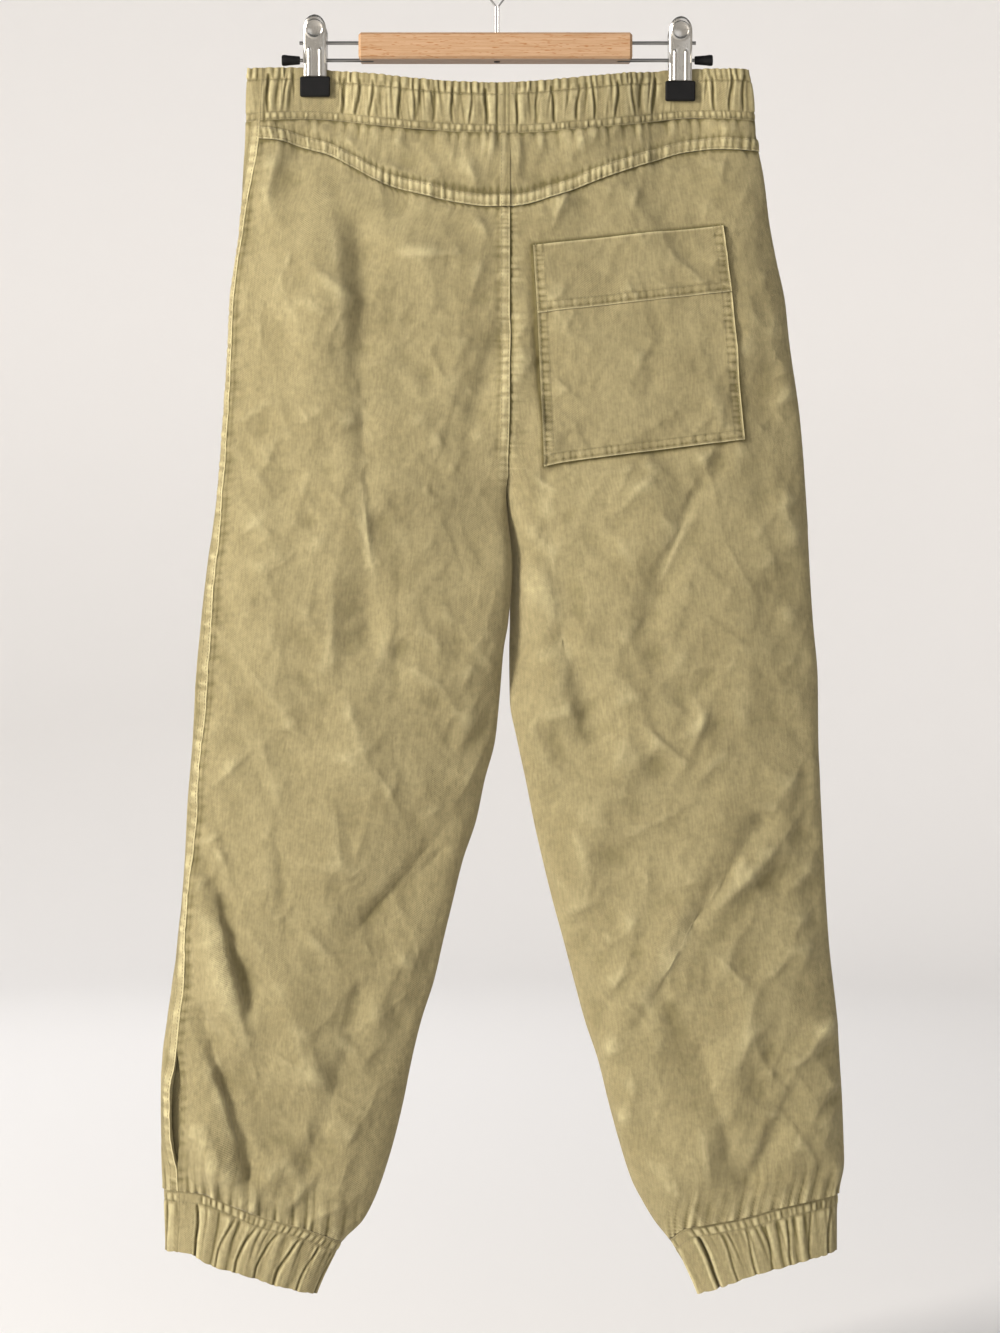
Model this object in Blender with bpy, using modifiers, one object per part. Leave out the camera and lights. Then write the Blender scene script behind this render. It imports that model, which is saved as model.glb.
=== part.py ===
# Cuffed cotton twill trousers hung by the waistband from a wooden clip hanger.
# Metres, +Z up. The back of the trousers faces -Y. The origin is the inner top of the hanging loop.
# Tables are in millimetres; "drop" is the distance below the origin.
import math

import bmesh
import bpy
import numpy as np
from mathutils import Vector

MM = 0.001
GAP = 0.3
CLOTH = 1.8
BAND_CLOTH = 1.5
POCKET_CLOTH = 1.2
POCKET_LIFT = 0.45
LEFT, RIGHT = -1, 1

# Outline of the hung garment: drop, left edge x, right edge x.
OUTLINE = [
    (98.5, -204.0, 206.5), (124.5, -205.5, 210.0), (157.5, -206.5, 213.0), (190.0, -208.5, 219.0),
    (223.0, -210.0, 223.0), (256.0, -214.0, 229.0), (288.5, -218.5, 236.0), (321.5, -220.0, 239.5),
    (387.0, -224.5, 248.5), (452.5, -230.0, 253.5), (502.0, -237.0, 256.0), (551.0, -242.5, 259.0),
    (600.0, -247.0, 263.0), (649.5, -249.5, 263.5), (698.5, -253.5, 265.5), (748.0, -256.0, 268.0),
    (813.5, -261.5, 272.0), (879.0, -270.5, 279.0), (912.0, -274.5, 281.0), (944.5, -275.5, 283.0),
    (994.0, -275.0, 284.5), (1022.5, -273.0, 279.5), (1067.5, -272.0, 279.0), (1110.0, -272.0, 279.0),
]
# Inner edge of each leg: drop, left leg x, right leg x. Above the crotch it is the centre seam.
INNER = [
    (90.0, 10.5, 10.5), (374.5, 10.5, 10.5), (428.0, 8.5, 8.5), (445.5, 6.9, 8.1),
    (465.0, 8.5, 8.5), (485.5, 11.0, 9.5), (506.0, 12.5, 10.5), (551.0, 9.5, 10.5),
    (575.5, 5.5, 10.0), (616.5, 2.0, 10.5), (649.5, -1.5, 16.5), (682.0, -10.0, 23.5),
    (715.0, -17.0, 30.0), (748.0, -28.0, 37.5), (780.5, -36.0, 45.5), (813.5, -44.0, 54.5),
    (846.0, -51.5, 63.0), (879.0, -62.0, 72.0), (912.0, -70.0, 83.0), (944.5, -76.5, 91.0),
    (977.5, -84.5, 100.0), (1010.0, -94.5, 110.5), (1026.5, -101.0, 119.0), (1043.0, -110.0, 129.0),
    (1060.5, -127.0, 142.5), (1103.0, -147.5, 164.0), (1110.0, -150.0, 166.0),
]
# Half depth of the sections: drop, half depth, how far each leg's inner edge leaves the middle plane.
DEPTH = [
    (98.0, 14.0, 0.0), (141.0, 16.0, 0.0), (190.0, 20.0, 0.0), (256.0, 24.0, 0.0),
    (340.0, 26.0, 0.0), (445.5, 24.0, 0.0), (500.0, 22.0, 8.0), (560.0, 22.0, 8.0),
    (640.0, 22.0, 0.0), (850.0, 22.0, 0.0), (985.0, 21.0, 0.0), (1020.0, 17.0, 0.0),
    (1045.0, 15.0, 0.0), (1110.0, 14.0, 0.0),
]
# Side seam of the left leg, seen on the back: drop, back panel edge x, front panel edge x.
LEFT_SEAM = [
    (98.0, -193.0, -193.0), (144.5, -193.5, -193.5), (171.5, -195.0, -195.0), (192.0, -199.0, -199.0),
    (215.5, -205.0, -205.0), (245.0, -209.5, -209.5), (270.5, -212.5, -212.5), (303.5, -215.5, -215.5),
    (370.5, -218.5, -218.5), (435.5, -223.0, -223.0), (487.0, -227.0, -227.0), (529.0, -231.0, -231.0),
    (570.5, -234.0, -234.0), (608.5, -237.0, -237.0), (639.0, -239.0, -239.0), (681.5, -243.0, -243.0),
    (724.0, -246.0, -246.0), (766.5, -249.0, -249.0), (813.5, -251.0, -251.0), (852.0, -253.5, -253.5),
    (881.5, -257.5, -257.5), (901.0, -259.0, -259.0), (913.5, -257.0, -261.0), (940.5, -254.5, -264.5),
    (968.5, -255.0, -264.5), (988.0, -258.0, -262.0), (1001.0, -259.5, -259.5), (1110.0, -259.0, -259.0),
]
# Side seam of the right leg, hidden on the front: drop, distance from the outer edge, half opening.
RIGHT_SEAM = [
    (98.0, 6.0, 0.0), (300.0, 6.0, 0.0), (600.0, 10.0, 0.0), (901.0, 13.0, 0.0),
    (940.5, 14.0, 4.5), (968.5, 14.0, 4.5), (1001.0, 13.0, 0.0), (1110.0, 13.0, 0.0),
]
# Seam lines across the garment: x, drop.
WAIST_TOP = [
    (-204.0, 99.0), (-160.0, 98.5), (-134.5, 101.0), (-101.5, 105.0), (-65.0, 109.5), (-28.5, 112.5),
    (2.5, 113.0), (46.0, 110.5), (85.5, 106.5), (125.5, 102.5), (160.5, 99.5), (208.5, 100.0),
]
WAIST_SEAM = [
    (-206.0, 143.5), (-184.5, 142.0), (-160.0, 141.0), (-138.0, 142.0), (-101.5, 147.5), (-65.0, 151.5),
    (-28.5, 154.0), (10.5, 155.0), (65.5, 151.5), (105.0, 147.5), (140.0, 142.0), (160.5, 140.5),
    (208.5, 142.0),
]
YOKE_SEAM = [
    (-196.0, 157.5), (-174.5, 160.0), (-156.5, 166.0), (-138.0, 171.5), (-119.5, 181.0), (-90.0, 197.0),
    (-65.0, 204.5), (-28.5, 213.0), (-5.5, 215.5), (11.5, 215.5), (46.0, 207.5), (85.5, 192.5),
    (125.5, 178.0), (155.0, 169.0), (179.0, 166.5), (214.0, 167.0),
]
# Seam and hem lines of the ankle cuffs: share of the leg's width from the outer edge, drop.
CUFF_SEAM = {
    LEFT: [(0.0, 1017.0), (0.17, 1018.5), (0.37, 1030.0), (0.47, 1036.5), (0.68, 1045.5), (1.0, 1060.5)],
    RIGHT: [(0.0, 1022.5), (0.29, 1031.5), (0.52, 1040.5), (0.70, 1045.5), (0.85, 1050.0), (1.0, 1060.5)],
}
CUFF_HEM = {
    LEFT: [(0.0, 1067.0), (0.12, 1067.5), (0.28, 1077.0), (0.52, 1085.5), (0.71, 1093.5), (1.0, 1103.0)],
    RIGHT: [(0.0, 1067.0), (0.17, 1072.5), (0.45, 1081.5), (0.65, 1088.5), (0.85, 1097.0), (1.0, 1102.5)],
}
# Largest folds: start x, start drop, end x, end drop, half width, depth (a ridge is negative).
FOLDS = [
    (-110.5, 231.0, -110.5, 395.0, 13.0, 5.0), (-108.0, 395.0, -102.5, 561.0, 13.0, 4.5),
    (-150.0, 220.0, -150.0, 420.0, 16.0, -3.0), (-205.0, 480.0, -137.0, 411.0, 9.0, 2.5),
    (-245.0, 735.0, -223.0, 780.0, 9.0, 3.0), (-223.0, 780.0, -202.0, 862.0, 9.0, 3.5),
    (-236.0, 880.0, -203.0, 1000.0, 11.0, 6.0), (-110.0, 860.0, -150.0, 985.0, 11.0, 3.0),
    (158.5, 452.0, 119.0, 556.0, 11.0, 4.5), (37.0, 440.0, 53.5, 567.0, 13.0, 5.5),
    (53.5, 567.0, 80.0, 640.0, 11.0, 4.5), (80.5, 695.0, 174.5, 690.0, 9.0, 2.5),
    (215.0, 715.0, 158.5, 797.0, 10.0, 4.0), (158.5, 797.0, 117.5, 880.0, 10.0, 4.0),
    (166.0, 900.0, 195.0, 1000.0, 10.0, 4.5), (240.0, 936.0, 205.0, 1010.0, 9.0, 3.0),
    (245.0, 640.0, 262.0, 830.0, 9.0, 3.0), (10.0, 300.0, -22.0, 400.0, 9.0, 3.0),
]
# Grip of the clips on the cloth: clip x, half width held flat, reach of the pull.
GRIPS = [(-148.8, 13.5, 24.0), (150.0, 13.5, 24.0)]
# Height of the pull: drop, share.
PULL = [(90.0, 1.0), (126.0, 1.0), (150.0, 0.62), (200.0, 0.25), (300.0, 0.0), (1200.0, 0.0)]

CROTCH = 445.5
RISE_BEND = 74.0
YOKE_FADE = 120.0
CUFF_FADE = 170.0
PANEL_ROWS = [
    0.0, 0.025, 0.06, 0.1, 0.14, 0.18, 0.215, 0.245, 0.27, 0.29, 0.305, 0.318, 0.335, 0.36,
    0.39, 0.42, 0.45, 0.485, 0.52, 0.555, 0.59, 0.625, 0.66, 0.695, 0.73, 0.765, 0.80,
    0.83, 0.853, 0.88, 0.91, 0.94, 0.97, 0.987, 1.0,
]
BACK_COLUMNS = 14
FRONT_COLUMNS = 9
YOKE_ROWS = 2
# Gathers: count of waves, columns per wave, height of the wave at each row from the seam out.
WAIST_GATHERS = {"back": 42, "front": 38}
CUFF_GATHERS = 32
WAVE_COLUMNS = 3
WAIST_ROWS = [(0.0, 0.0), (0.36, 1.1), (0.74, 0.6), (1.0, 0.9)]
CUFF_ROWS = [(0.0, 0.0), (0.45, 1.1), (1.0, 0.9)]

# Back patch pocket: corners x, drop; the band is the part above the band line.
POCKET = [(29.5, 247.5), (183.5, 230.5), (201.0, 404.5), (38.5, 425.0)]
BAND_LINE = [(33.0, 302.5), (190.0, 284.5)]

# Hanger sizes.
BAR = {"left": -113.0, "right": 110.5, "top": 71.5, "bottom": 93.0, "depth": 24.0, "round": 2.0}
WIRE = 3.0
UPPER_WIRE = 78.0
LOWER_WIRE = 92.2
SOCKET = 12.0
STEM_WIRE = 1.7
STEM_PITCH = 2.1
LOOP_RADIUS = 18.0
STEM_FORK = 46.5
# Clips: name, centre x, top drop, jaw bottom, tip bottom, outer end of the lower wire.
CLIPS = [("left", -148.8, 57.5, 106.2, 123.0, -172.0), ("right", 150.0, 59.0, 109.8, 126.4, 172.0)]
JAW_WIDTH = 18.8
TIP_WIDTH = 24.6
JAW_SHEET = 1.2
TIP_DEPTH = 3.6

MATERIALS = {
    "twill": ((0.331, 0.287, 0.142), 0.9, 0.0),
    "beech": ((0.57, 0.33, 0.15), 0.5, 0.0),
    "steel": ((0.62, 0.61, 0.58), 0.22, 1.0),
    "rubber": ((0.012, 0.012, 0.012), 0.5, 0.0),
}


def table(rows, column):
    rows = np.array(rows, dtype=float)
    order = np.argsort(rows[:, 0])
    knots, values = rows[order, 0], rows[order, column]
    chord = np.diff(values) / np.diff(knots)
    before, after = np.append(chord[:1], chord), np.append(chord, chord[-1:])
    level = before * after <= 0
    slopes = np.where(level, 0.0, 2 * before * after / np.where(level, 1.0, before + after))

    def curve(x):
        x = np.clip(x, knots[0], knots[-1])
        i = np.clip(np.searchsorted(knots, x, side="right") - 1, 0, len(knots) - 2)
        span = knots[i + 1] - knots[i]
        t = (x - knots[i]) / span
        a = values[i] * (1 + 2 * t) * (1 - t) ** 2 + slopes[i] * span * t * (1 - t) ** 2
        return a + values[i + 1] * t * t * (3 - 2 * t) - slopes[i + 1] * span * t * t * (1 - t)

    return curve


def arc_share(ratio, reach):
    angle = np.linspace(0.0, reach, 400)
    steps = np.hypot(np.diff(np.cos(angle)), ratio * np.diff(np.sin(angle)))
    length = np.concatenate([[0.0], np.cumsum(steps)])
    return lambda s: np.interp(s, length / length[-1], angle)


OUTER_X = {LEFT: table(OUTLINE, 1), RIGHT: table(OUTLINE, 2)}
INNER_X = {LEFT: table(INNER, 1), RIGHT: table(INNER, 2)}
HALF_DEPTH = table(DEPTH, 1)
INNER_SHIFT = table(DEPTH, 2)
BACK_SEAM_X = table(LEFT_SEAM, 1)
FRONT_SEAM_X = table(LEFT_SEAM, 2)
SEAM_INSET = table(RIGHT_SEAM, 1)
SEAM_OPENING = table(RIGHT_SEAM, 2)
PULL_SHARE = table(PULL, 1)
HIP_ANGLE = arc_share(0.12, math.pi / 2)
LEG_ANGLE = arc_share(0.22, math.pi)


def leg_share(drop):
    t = np.clip((drop - CROTCH + RISE_BEND) / RISE_BEND, 0.0, 1.0)
    return 1.0 - np.sqrt(1.0 - t * t)


def fold_depth(x, drop, face):
    total = np.zeros(np.broadcast(x, drop).shape)
    for x1, d1, x2, d2, width, depth in FOLDS:
        if face > 0:
            x1, x2, depth = -x1 * 0.96, -x2 * 0.96, depth * 0.75
        run = (x2 - x1) ** 2 + (d2 - d1) ** 2
        t = np.clip(((x - x1) * (x2 - x1) + (drop - d1) * (d2 - d1)) / run, 0.0, 1.0)
        off = np.hypot(x - x1 - t * (x2 - x1), drop - d1 - t * (d2 - d1))
        total = total + depth * np.exp(-(off / width) ** 2)
    return total


def ring(side, drop, s):
    # s runs from -1 (back, inner seam) through 0 (outer edge) to 1 (front, inner seam).
    s, drop = np.broadcast_arrays(np.asarray(s, dtype=float), np.asarray(drop, dtype=float))
    face = np.where(s < 0, -1.0, 1.0)
    hip, leg = HIP_ANGLE(np.abs(s)), LEG_ANGLE(np.abs(s))
    outer, inner, half = OUTER_X[side](drop), INNER_X[side](drop), HALF_DEPTH(drop)
    w = leg_share(drop)
    share = (1 - w) * (1 - np.cos(hip)) + w * (1 - np.cos(leg)) / 2
    bulge = (1 - w) * np.sin(hip) + w * np.sin(leg)
    x = outer + (inner - outer) * share
    sign = np.where(s < 0, -1, 1)
    folds = np.where(sign < 0, fold_depth(x, drop, -1), fold_depth(x, drop, 1))
    depth = half * bulge - folds * np.clip(bulge * 1.6 - 0.3, 0.0, 1.0)
    pull = PULL_SHARE(drop)
    for clip_x, hold, reach in GRIPS:
        away = np.maximum(np.abs(x - clip_x) - hold, 0.0) / reach
        grip = pull * np.exp(-away * away)
        depth = depth * (1 - grip) + (CLOTH + GAP) * grip
    shift = side * INNER_SHIFT(drop) * np.clip(share, 0.0, 1.0) ** 3
    return x, face * depth + shift


def across(side, points, s, guess):
    # A seam drawn over the garment: the drop where the ring at that height crosses it.
    curve = table(points, 1)
    drop = np.full(np.shape(s), float(guess))
    for _ in range(4):
        drop = curve(ring(side, drop, s)[0])
    return drop


def around_leg(points, side, s):
    return table(points[side], 1)((1 - np.cos(LEG_ANGLE(np.abs(s)))) / 2)


def side_seam(side, drop, panel):
    # The s of the side seam on the given panel, found by halving.
    drop = np.asarray(drop, dtype=float)
    if side == LEFT:
        target = (BACK_SEAM_X if panel == "back" else FRONT_SEAM_X)(drop)
        low, high, turn = np.full(drop.shape, -0.5), np.zeros(drop.shape), -1
    else:
        opening = SEAM_OPENING(drop) * (-1 if panel == "back" else 1)
        target = OUTER_X[side](drop) - SEAM_INSET(drop) - opening
        low, high, turn = np.zeros(drop.shape), np.full(drop.shape, 0.5), 1
    for _ in range(30):
        middle = (low + high) / 2
        inside = np.abs(ring(side, drop, middle)[0]) < np.abs(target)
        if turn < 0:
            low, high = np.where(inside, middle, low), np.where(inside, high, middle)
        else:
            low, high = np.where(inside, low, middle), np.where(inside, middle, high)
    return (low + high) / 2


def half_length(side, drop):
    s = np.linspace(-1.0, 0.0, 60)
    x, y = ring(side, np.full(60, float(drop)), s)
    return float(np.hypot(np.diff(x), np.diff(y)).sum())


def eased(count):
    q = np.linspace(0.0, 1.0, count + 1)
    return 0.55 * q + 0.45 * (1 - np.cos(math.pi * q)) / 2


def span(side, drop, panel, columns):
    # s of the columns across a panel, with half a seam gap left at each end.
    trim = GAP / 2 / half_length(side, drop)
    seam = float(side_seam(side, drop, panel))
    turn = -1 if panel == "back" else 1
    start, end = seam + turn * trim, turn * (1 - trim)
    around = start * turn < 0
    lead = np.array([start, start / 2]) if around else np.zeros(0)
    first = 0.0 if around else start
    return np.concatenate([lead, first + (end - first) * eased(columns - len(lead))])


def points(side, drop, s):
    x, y = ring(side, drop, s)
    return np.stack([x, y, -np.broadcast_to(drop, np.shape(x))], axis=-1)


def normals(side, drop, s):
    # Outward normals of the smooth garment surface.
    turn = 0.002
    around = points(side, drop, np.clip(s + turn, -1, 1)) - points(side, drop, np.clip(s - turn, -1, 1))
    down = points(side, drop + 1.0, s) - points(side, drop - 1.0, s)
    normal = np.cross(around, down) * -side
    return normal / np.linalg.norm(normal, axis=-1, keepdims=True)


def both(side, drop, s, seams=(0, -1)):
    # Points of a grid and the directions of its wall, level along the seam rows and the inner seam.
    place, facing = points(side, drop, s), normals(side, drop, s)
    for row in seams:
        facing[row, :, 2] = 0.0
    facing[:, -1, 1] *= 1 - leg_share(drop[:, -1])
    return place, facing / np.linalg.norm(facing, axis=-1, keepdims=True)


def panel_levels(side):
    # Drops of the back panel's rows at the side seam, from the yoke seam to the cuff seam.
    top = seam_at_side(side, YOKE_SEAM, 160.0)
    return top + np.array(PANEL_ROWS) * (CUFF_SEAM[side][0][1] - top)


def seam_at_side(side, seam, guess):
    s = side_seam(side, np.array([guess]), "back")
    return float(across(side, seam, s, guess)[0])


def trouser_panel(side, panel):
    columns = BACK_COLUMNS if panel == "back" else FRONT_COLUMNS
    levels = panel_levels(side)
    top = YOKE_SEAM
    if panel == "front":
        top = WAIST_SEAM
        waist = seam_at_side(side, WAIST_SEAM, 142.0)
        levels = np.concatenate([np.linspace(waist, levels[0], YOKE_ROWS + 1)[:-1], levels])
    s_rows, drops = [], []
    for level in levels:
        s = span(side, level, panel, columns)
        lift = across(side, top, s, levels[0]) - levels[0]
        fade = np.clip(1 - (level - levels[0]) / YOKE_FADE, 0.0, 1.0) ** 2
        sink = around_leg(CUFF_SEAM, side, s) - levels[-1]
        swell = np.clip(1 - (levels[-1] - level) / CUFF_FADE, 0.0, 1.0) ** 1.5
        s_rows.append(s)
        drops.append(level + (lift - lift[0]) * fade + (sink - sink[0]) * swell)
    s_rows, drops = np.array(s_rows), np.array(drops)
    drops[0] += GAP / 2
    drops[-1] -= GAP / 2
    return s_rows, drops


def yoke_panel(side, panel_s, panel_drops):
    s = panel_s[0]
    top = across(side, WAIST_SEAM, s, 145.0) + GAP / 2
    share = np.linspace(0, 1, YOKE_ROWS + 1)[:, None]
    return np.tile(s, (YOKE_ROWS + 1, 1)), top + (panel_drops[0] - GAP - top) * share


def gathered(place, normal, heights, seed):
    # A strip gathered into waves; heights give the wave height of each row.
    rng = np.random.default_rng(seed)
    count = place.shape[1]
    column = np.arange(count)
    phase = column % WAVE_COLUMNS
    shape = np.where(phase == 1, 1.0, np.where(phase == 2, -0.55, -0.2))
    strength = np.repeat(rng.uniform(0.5, 1.0, count // WAVE_COLUMNS + 1), WAVE_COLUMNS)[:count]
    ends = np.clip(np.minimum(column, count - 1 - column) / 2, 0, 1)
    held = np.ones(place.shape[:2])
    for clip_x, hold, _ in GRIPS:
        off = np.maximum(np.abs(place[:, :, 0] - clip_x) - hold, 0.0)
        near = (place[:, :, 2] > -160.0) * np.exp(-(off / 5.0) ** 2)
        held *= 1 - near
    push = np.array(heights)[:, None] * strength * shape * ends * held
    return place + normal * push[:, :, None]


def levelled(normal):
    normal = np.array(normal)
    normal[0, :, 2] = 0.0
    return normal / np.linalg.norm(normal, axis=-1, keepdims=True)


def waist_strip(panel, edges):
    # edges: for each side the s and drop of the trousers' top edge under this strip.
    count = WAIST_GATHERS[panel] * WAVE_COLUMNS + 1
    left_s, left_drop = edges[LEFT]
    right_s, right_drop = edges[RIGHT]
    reach = [abs(left_s[-1] - left_s[0]), abs(right_s[-1] - right_s[0])]
    walk = np.linspace(0.0, sum(reach), count)
    turn = 1.0 if panel == "front" else -1.0
    left = walk <= reach[0]
    s = np.where(left, left_s[0] + turn * walk, right_s[-1] - turn * (walk - reach[0]))
    low = np.where(
        left, np.interp(turn * s, turn * left_s, left_drop), np.interp(turn * s, turn * right_s, right_drop)
    ) - GAP
    place, normal = [], []
    for share, _ in WAIST_ROWS:
        row, facing = np.zeros((count, 3)), np.zeros((count, 3))
        for side, mask in ((LEFT, left), (RIGHT, ~left)):
            high = across(side, WAIST_TOP, s[mask], 102.0)
            drop = low[mask] + (high - low[mask]) * share
            row[mask], facing[mask] = points(side, drop, s[mask]), normals(side, drop, s[mask])
        place.append(row)
        normal.append(facing)
    place, normal = np.array(place), levelled(normal)
    return gathered(place, normal, [h for _, h in WAIST_ROWS], 11 if panel == "back" else 12), normal


def cuff_strip(side, edges):
    # edges: s and drop of the bottom edge of the leg's back and front panels.
    half = CUFF_GATHERS // 2 * WAVE_COLUMNS
    back_s, back_drop = edges["back"]
    front_s, front_drop = edges["front"]
    on_back = np.arange(2 * half + 1) <= half
    s = np.concatenate([np.linspace(back_s[0], -1.0, half + 1), np.linspace(1.0, front_s[0], half + 1)[1:]])
    low = np.where(on_back, np.interp(-s, -back_s, back_drop), np.interp(s, front_s, front_drop)) + GAP
    high = around_leg(CUFF_HEM, side, s)
    place, normal = [], []
    for share, _ in CUFF_ROWS:
        place.append(points(side, low + (high - low) * share, s))
        normal.append(normals(side, low + (high - low) * share, s))
    place, normal = np.array(place), levelled(normal)
    return gathered(place, normal, [h for _, h in CUFF_ROWS], 22 + side), normal


def slit_underlap(side):
    # The cloth seen inside the ankle slit, lying behind both edges of it.
    place, normal = [], []
    for drop in np.linspace(893.0, 1007.0, 7):
        reach = 6.0 / half_length(side, drop)
        back = float(side_seam(side, drop, "back")) - reach
        front = float(side_seam(side, drop, "front")) + reach
        s = np.linspace(back, front, 5)
        normal.append(normals(side, np.full(5, drop), s))
        place.append(points(side, np.full(5, drop), s) - normal[-1] * (CLOTH + GAP + 0.4))
    return np.array(place), np.array(normal)


def material(name):
    colour, roughness, metallic = MATERIALS[name]
    made = bpy.data.materials.new(name)
    made.use_nodes = True
    shader = made.node_tree.nodes["Principled BSDF"]
    shader.inputs["Base Color"].default_value = (*colour, 1.0)
    shader.inputs["Roughness"].default_value = roughness
    shader.inputs["Metallic"].default_value = metallic
    return made


def new_collection(name):
    made = bpy.data.collections.new(name)
    bpy.context.scene.collection.children.link(made)
    return made


def put(obj, kind, collection):
    for owner in list(obj.users_collection):
        owner.objects.unlink(obj)
    collection.objects.link(obj)
    obj.data.materials.clear()
    obj.data.materials.append(SLOTS[kind])
    return obj


def wall_mesh(name, outer, facing, thickness):
    # A closed cloth wall: the outer grid, the same grid moved in by the wall, and the rim between.
    rows, columns = outer.shape[:2]
    inner = outer - facing * thickness
    vertices = np.concatenate([outer.reshape(-1, 3), inner.reshape(-1, 3)]) * MM
    size = rows * columns
    first = np.cross(outer[0, 1] - outer[0, 0], outer[1, 0] - outer[0, 0])
    flip = float(first @ facing[0, 0]) < 0
    faces = []
    for j in range(rows - 1):
        for i in range(columns - 1):
            a = j * columns + i
            for corner in ((a, a + columns, a + columns + 1), (a, a + columns + 1, a + 1)):
                faces.append(corner)
                faces.append(tuple(size + k for k in reversed(corner)))
    edge = [(i, i + 1) for i in range(columns - 1)]
    edge += [(j * columns + columns - 1, (j + 1) * columns + columns - 1) for j in range(rows - 1)]
    edge += [((rows - 1) * columns + i + 1, (rows - 1) * columns + i) for i in range(columns - 1)]
    edge += [((j + 1) * columns, j * columns) for j in range(rows - 1)]
    faces += [(a, b, size + b, size + a) for a, b in edge]
    if not flip:
        faces = [tuple(reversed(face)) for face in faces]
    mesh = bpy.data.meshes.new(name)
    mesh.from_pydata(vertices.tolist(), [], faces)
    mesh.update()
    return mesh


def cloth(name, outer, facing, thickness):
    obj = bpy.data.objects.new(name, wall_mesh(name, outer, facing, thickness))
    return put(obj, "twill", TROUSERS)


def patch(name, outer, facing, corners, thickness):
    # The part of a panel inside an outline, moved out along the panel's normals.
    rows, columns = outer.shape[:2]
    lifted = (outer + facing * POCKET_LIFT) * MM
    faces = []
    for j in range(rows - 1):
        for i in range(columns - 1):
            a = j * columns + i
            faces += [(a, a + columns, a + columns + 1), (a, a + columns + 1, a + 1)]
    mesh = bpy.data.meshes.new(name)
    mesh.from_pydata(lifted.reshape(-1, 3).tolist(), [], faces)
    work = bmesh.new()
    work.from_mesh(mesh)
    middle = Vector((sum(c[0] for c in corners) / 4, 0, -sum(c[1] for c in corners) / 4)) * MM
    for start, end in zip(corners, corners[1:] + corners[:1]):
        a = Vector((start[0], 0, -start[1])) * MM
        b = Vector((end[0], 0, -end[1])) * MM
        away = (b - a).cross(Vector((0, 1, 0))).normalized()
        if away.dot(middle - a) > 0:
            away = -away
        geometry = list(work.verts) + list(work.edges) + list(work.faces)
        bmesh.ops.bisect_plane(work, geom=geometry, plane_co=a, plane_no=away, clear_outer=True)
    bmesh.ops.remove_doubles(work, verts=work.verts, dist=0.0001)
    if sum(face.normal.y * face.calc_area() for face in work.faces) > 0:
        bmesh.ops.reverse_faces(work, faces=work.faces)
    work.to_mesh(mesh)
    work.free()
    obj = put(bpy.data.objects.new(name, mesh), "twill", TROUSERS)
    shell = obj.modifiers.new("wall", "SOLIDIFY")
    shell.thickness = thickness * MM
    shell.offset = 1.0
    shell.use_even_offset = True
    return obj


def box(name, low, high, kind, collection, bevel=0.0):
    low, high = Vector(low), Vector(high)
    bpy.ops.mesh.primitive_cube_add(size=1.0, location=(low + high) / 2 * MM)
    obj = bpy.context.object
    obj.name = name
    obj.scale = (high - low) * MM
    bpy.ops.object.transform_apply(location=False, rotation=False, scale=True)
    put(obj, kind, collection)
    if bevel:
        edge = obj.modifiers.new("soft edge", "BEVEL")
        edge.width = bevel * MM
        edge.segments = 1
    return obj


def rod(name, start, end, radius, kind, collection, sides=12):
    start, end = Vector(start) * MM, Vector(end) * MM
    bpy.ops.mesh.primitive_cylinder_add(
        vertices=sides, radius=radius * MM, depth=(end - start).length, location=(start + end) / 2
    )
    obj = bpy.context.object
    obj.name = name
    obj.rotation_mode = "QUATERNION"
    obj.rotation_quaternion = (end - start).to_track_quat("Z", "Y")
    put(obj, kind, collection)
    return obj


def plain_mesh(obj):
    # The object's finished shape as its own mesh, in world place.
    bpy.context.view_layer.update()
    graph = bpy.context.evaluated_depsgraph_get()
    mesh = bpy.data.meshes.new_from_object(obj.evaluated_get(graph))
    mesh.transform(obj.matrix_world)
    work = bmesh.new()
    work.from_mesh(mesh)
    bmesh.ops.remove_doubles(work, verts=work.verts, dist=0.00001)
    work.to_mesh(mesh)
    work.free()
    made = bpy.data.objects.new(obj.name + "_mesh", mesh)
    obj.users_collection[0].objects.link(made)
    name = obj.name
    bpy.data.objects.remove(obj)
    made.name = name
    return made


def combine(target, tool, operation):
    join = target.modifiers.new(operation.lower(), "BOOLEAN")
    join.operation = operation
    join.solver = "EXACT"
    join.object = tool
    return join


def cutter(obj):
    obj.hide_render = True
    obj.display_type = "WIRE"
    return obj


def build_trousers():
    top_edges = {"back": {}, "front": {}}
    right_back = None
    for side, word in ((LEFT, "left"), (RIGHT, "right")):
        low_edges = {}
        for panel in ("back", "front"):
            s, drops = trouser_panel(side, panel)
            outer, facing = both(side, drops, s)
            cloth(panel + "_" + word, outer, facing, CLOTH)
            low_edges[panel] = (s[-1], drops[-1])
            if panel == "front":
                top_edges["front"][side] = (s[0], drops[0])
                continue
            yoke_s, yoke_drops = yoke_panel(side, s, drops)
            top_edges["back"][side] = (yoke_s[0], yoke_drops[0])
            cloth("yoke_" + word, *both(side, yoke_drops, yoke_s), CLOTH)
            right_back = (outer, facing)
        cloth("cuff_" + word, *cuff_strip(side, low_edges), BAND_CLOTH)
        cloth("slit_underlap_" + word, *slit_underlap(side), 1.0)
    for panel in ("back", "front"):
        cloth("waistband_" + panel, *waist_strip(panel, top_edges[panel]), BAND_CLOTH)
    top_left, top_right, low_right, low_left = POCKET
    upper = [(x, drop - GAP / 2) for x, drop in BAND_LINE]
    lower = [(x, drop + GAP / 2) for x, drop in BAND_LINE]
    patch("back_pocket", *right_back, [lower[0], lower[1], low_right, low_left], POCKET_CLOTH)
    patch("back_pocket_band", *right_back, [top_left, top_right, upper[1], upper[0]], POCKET_CLOTH + 0.6)


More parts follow.
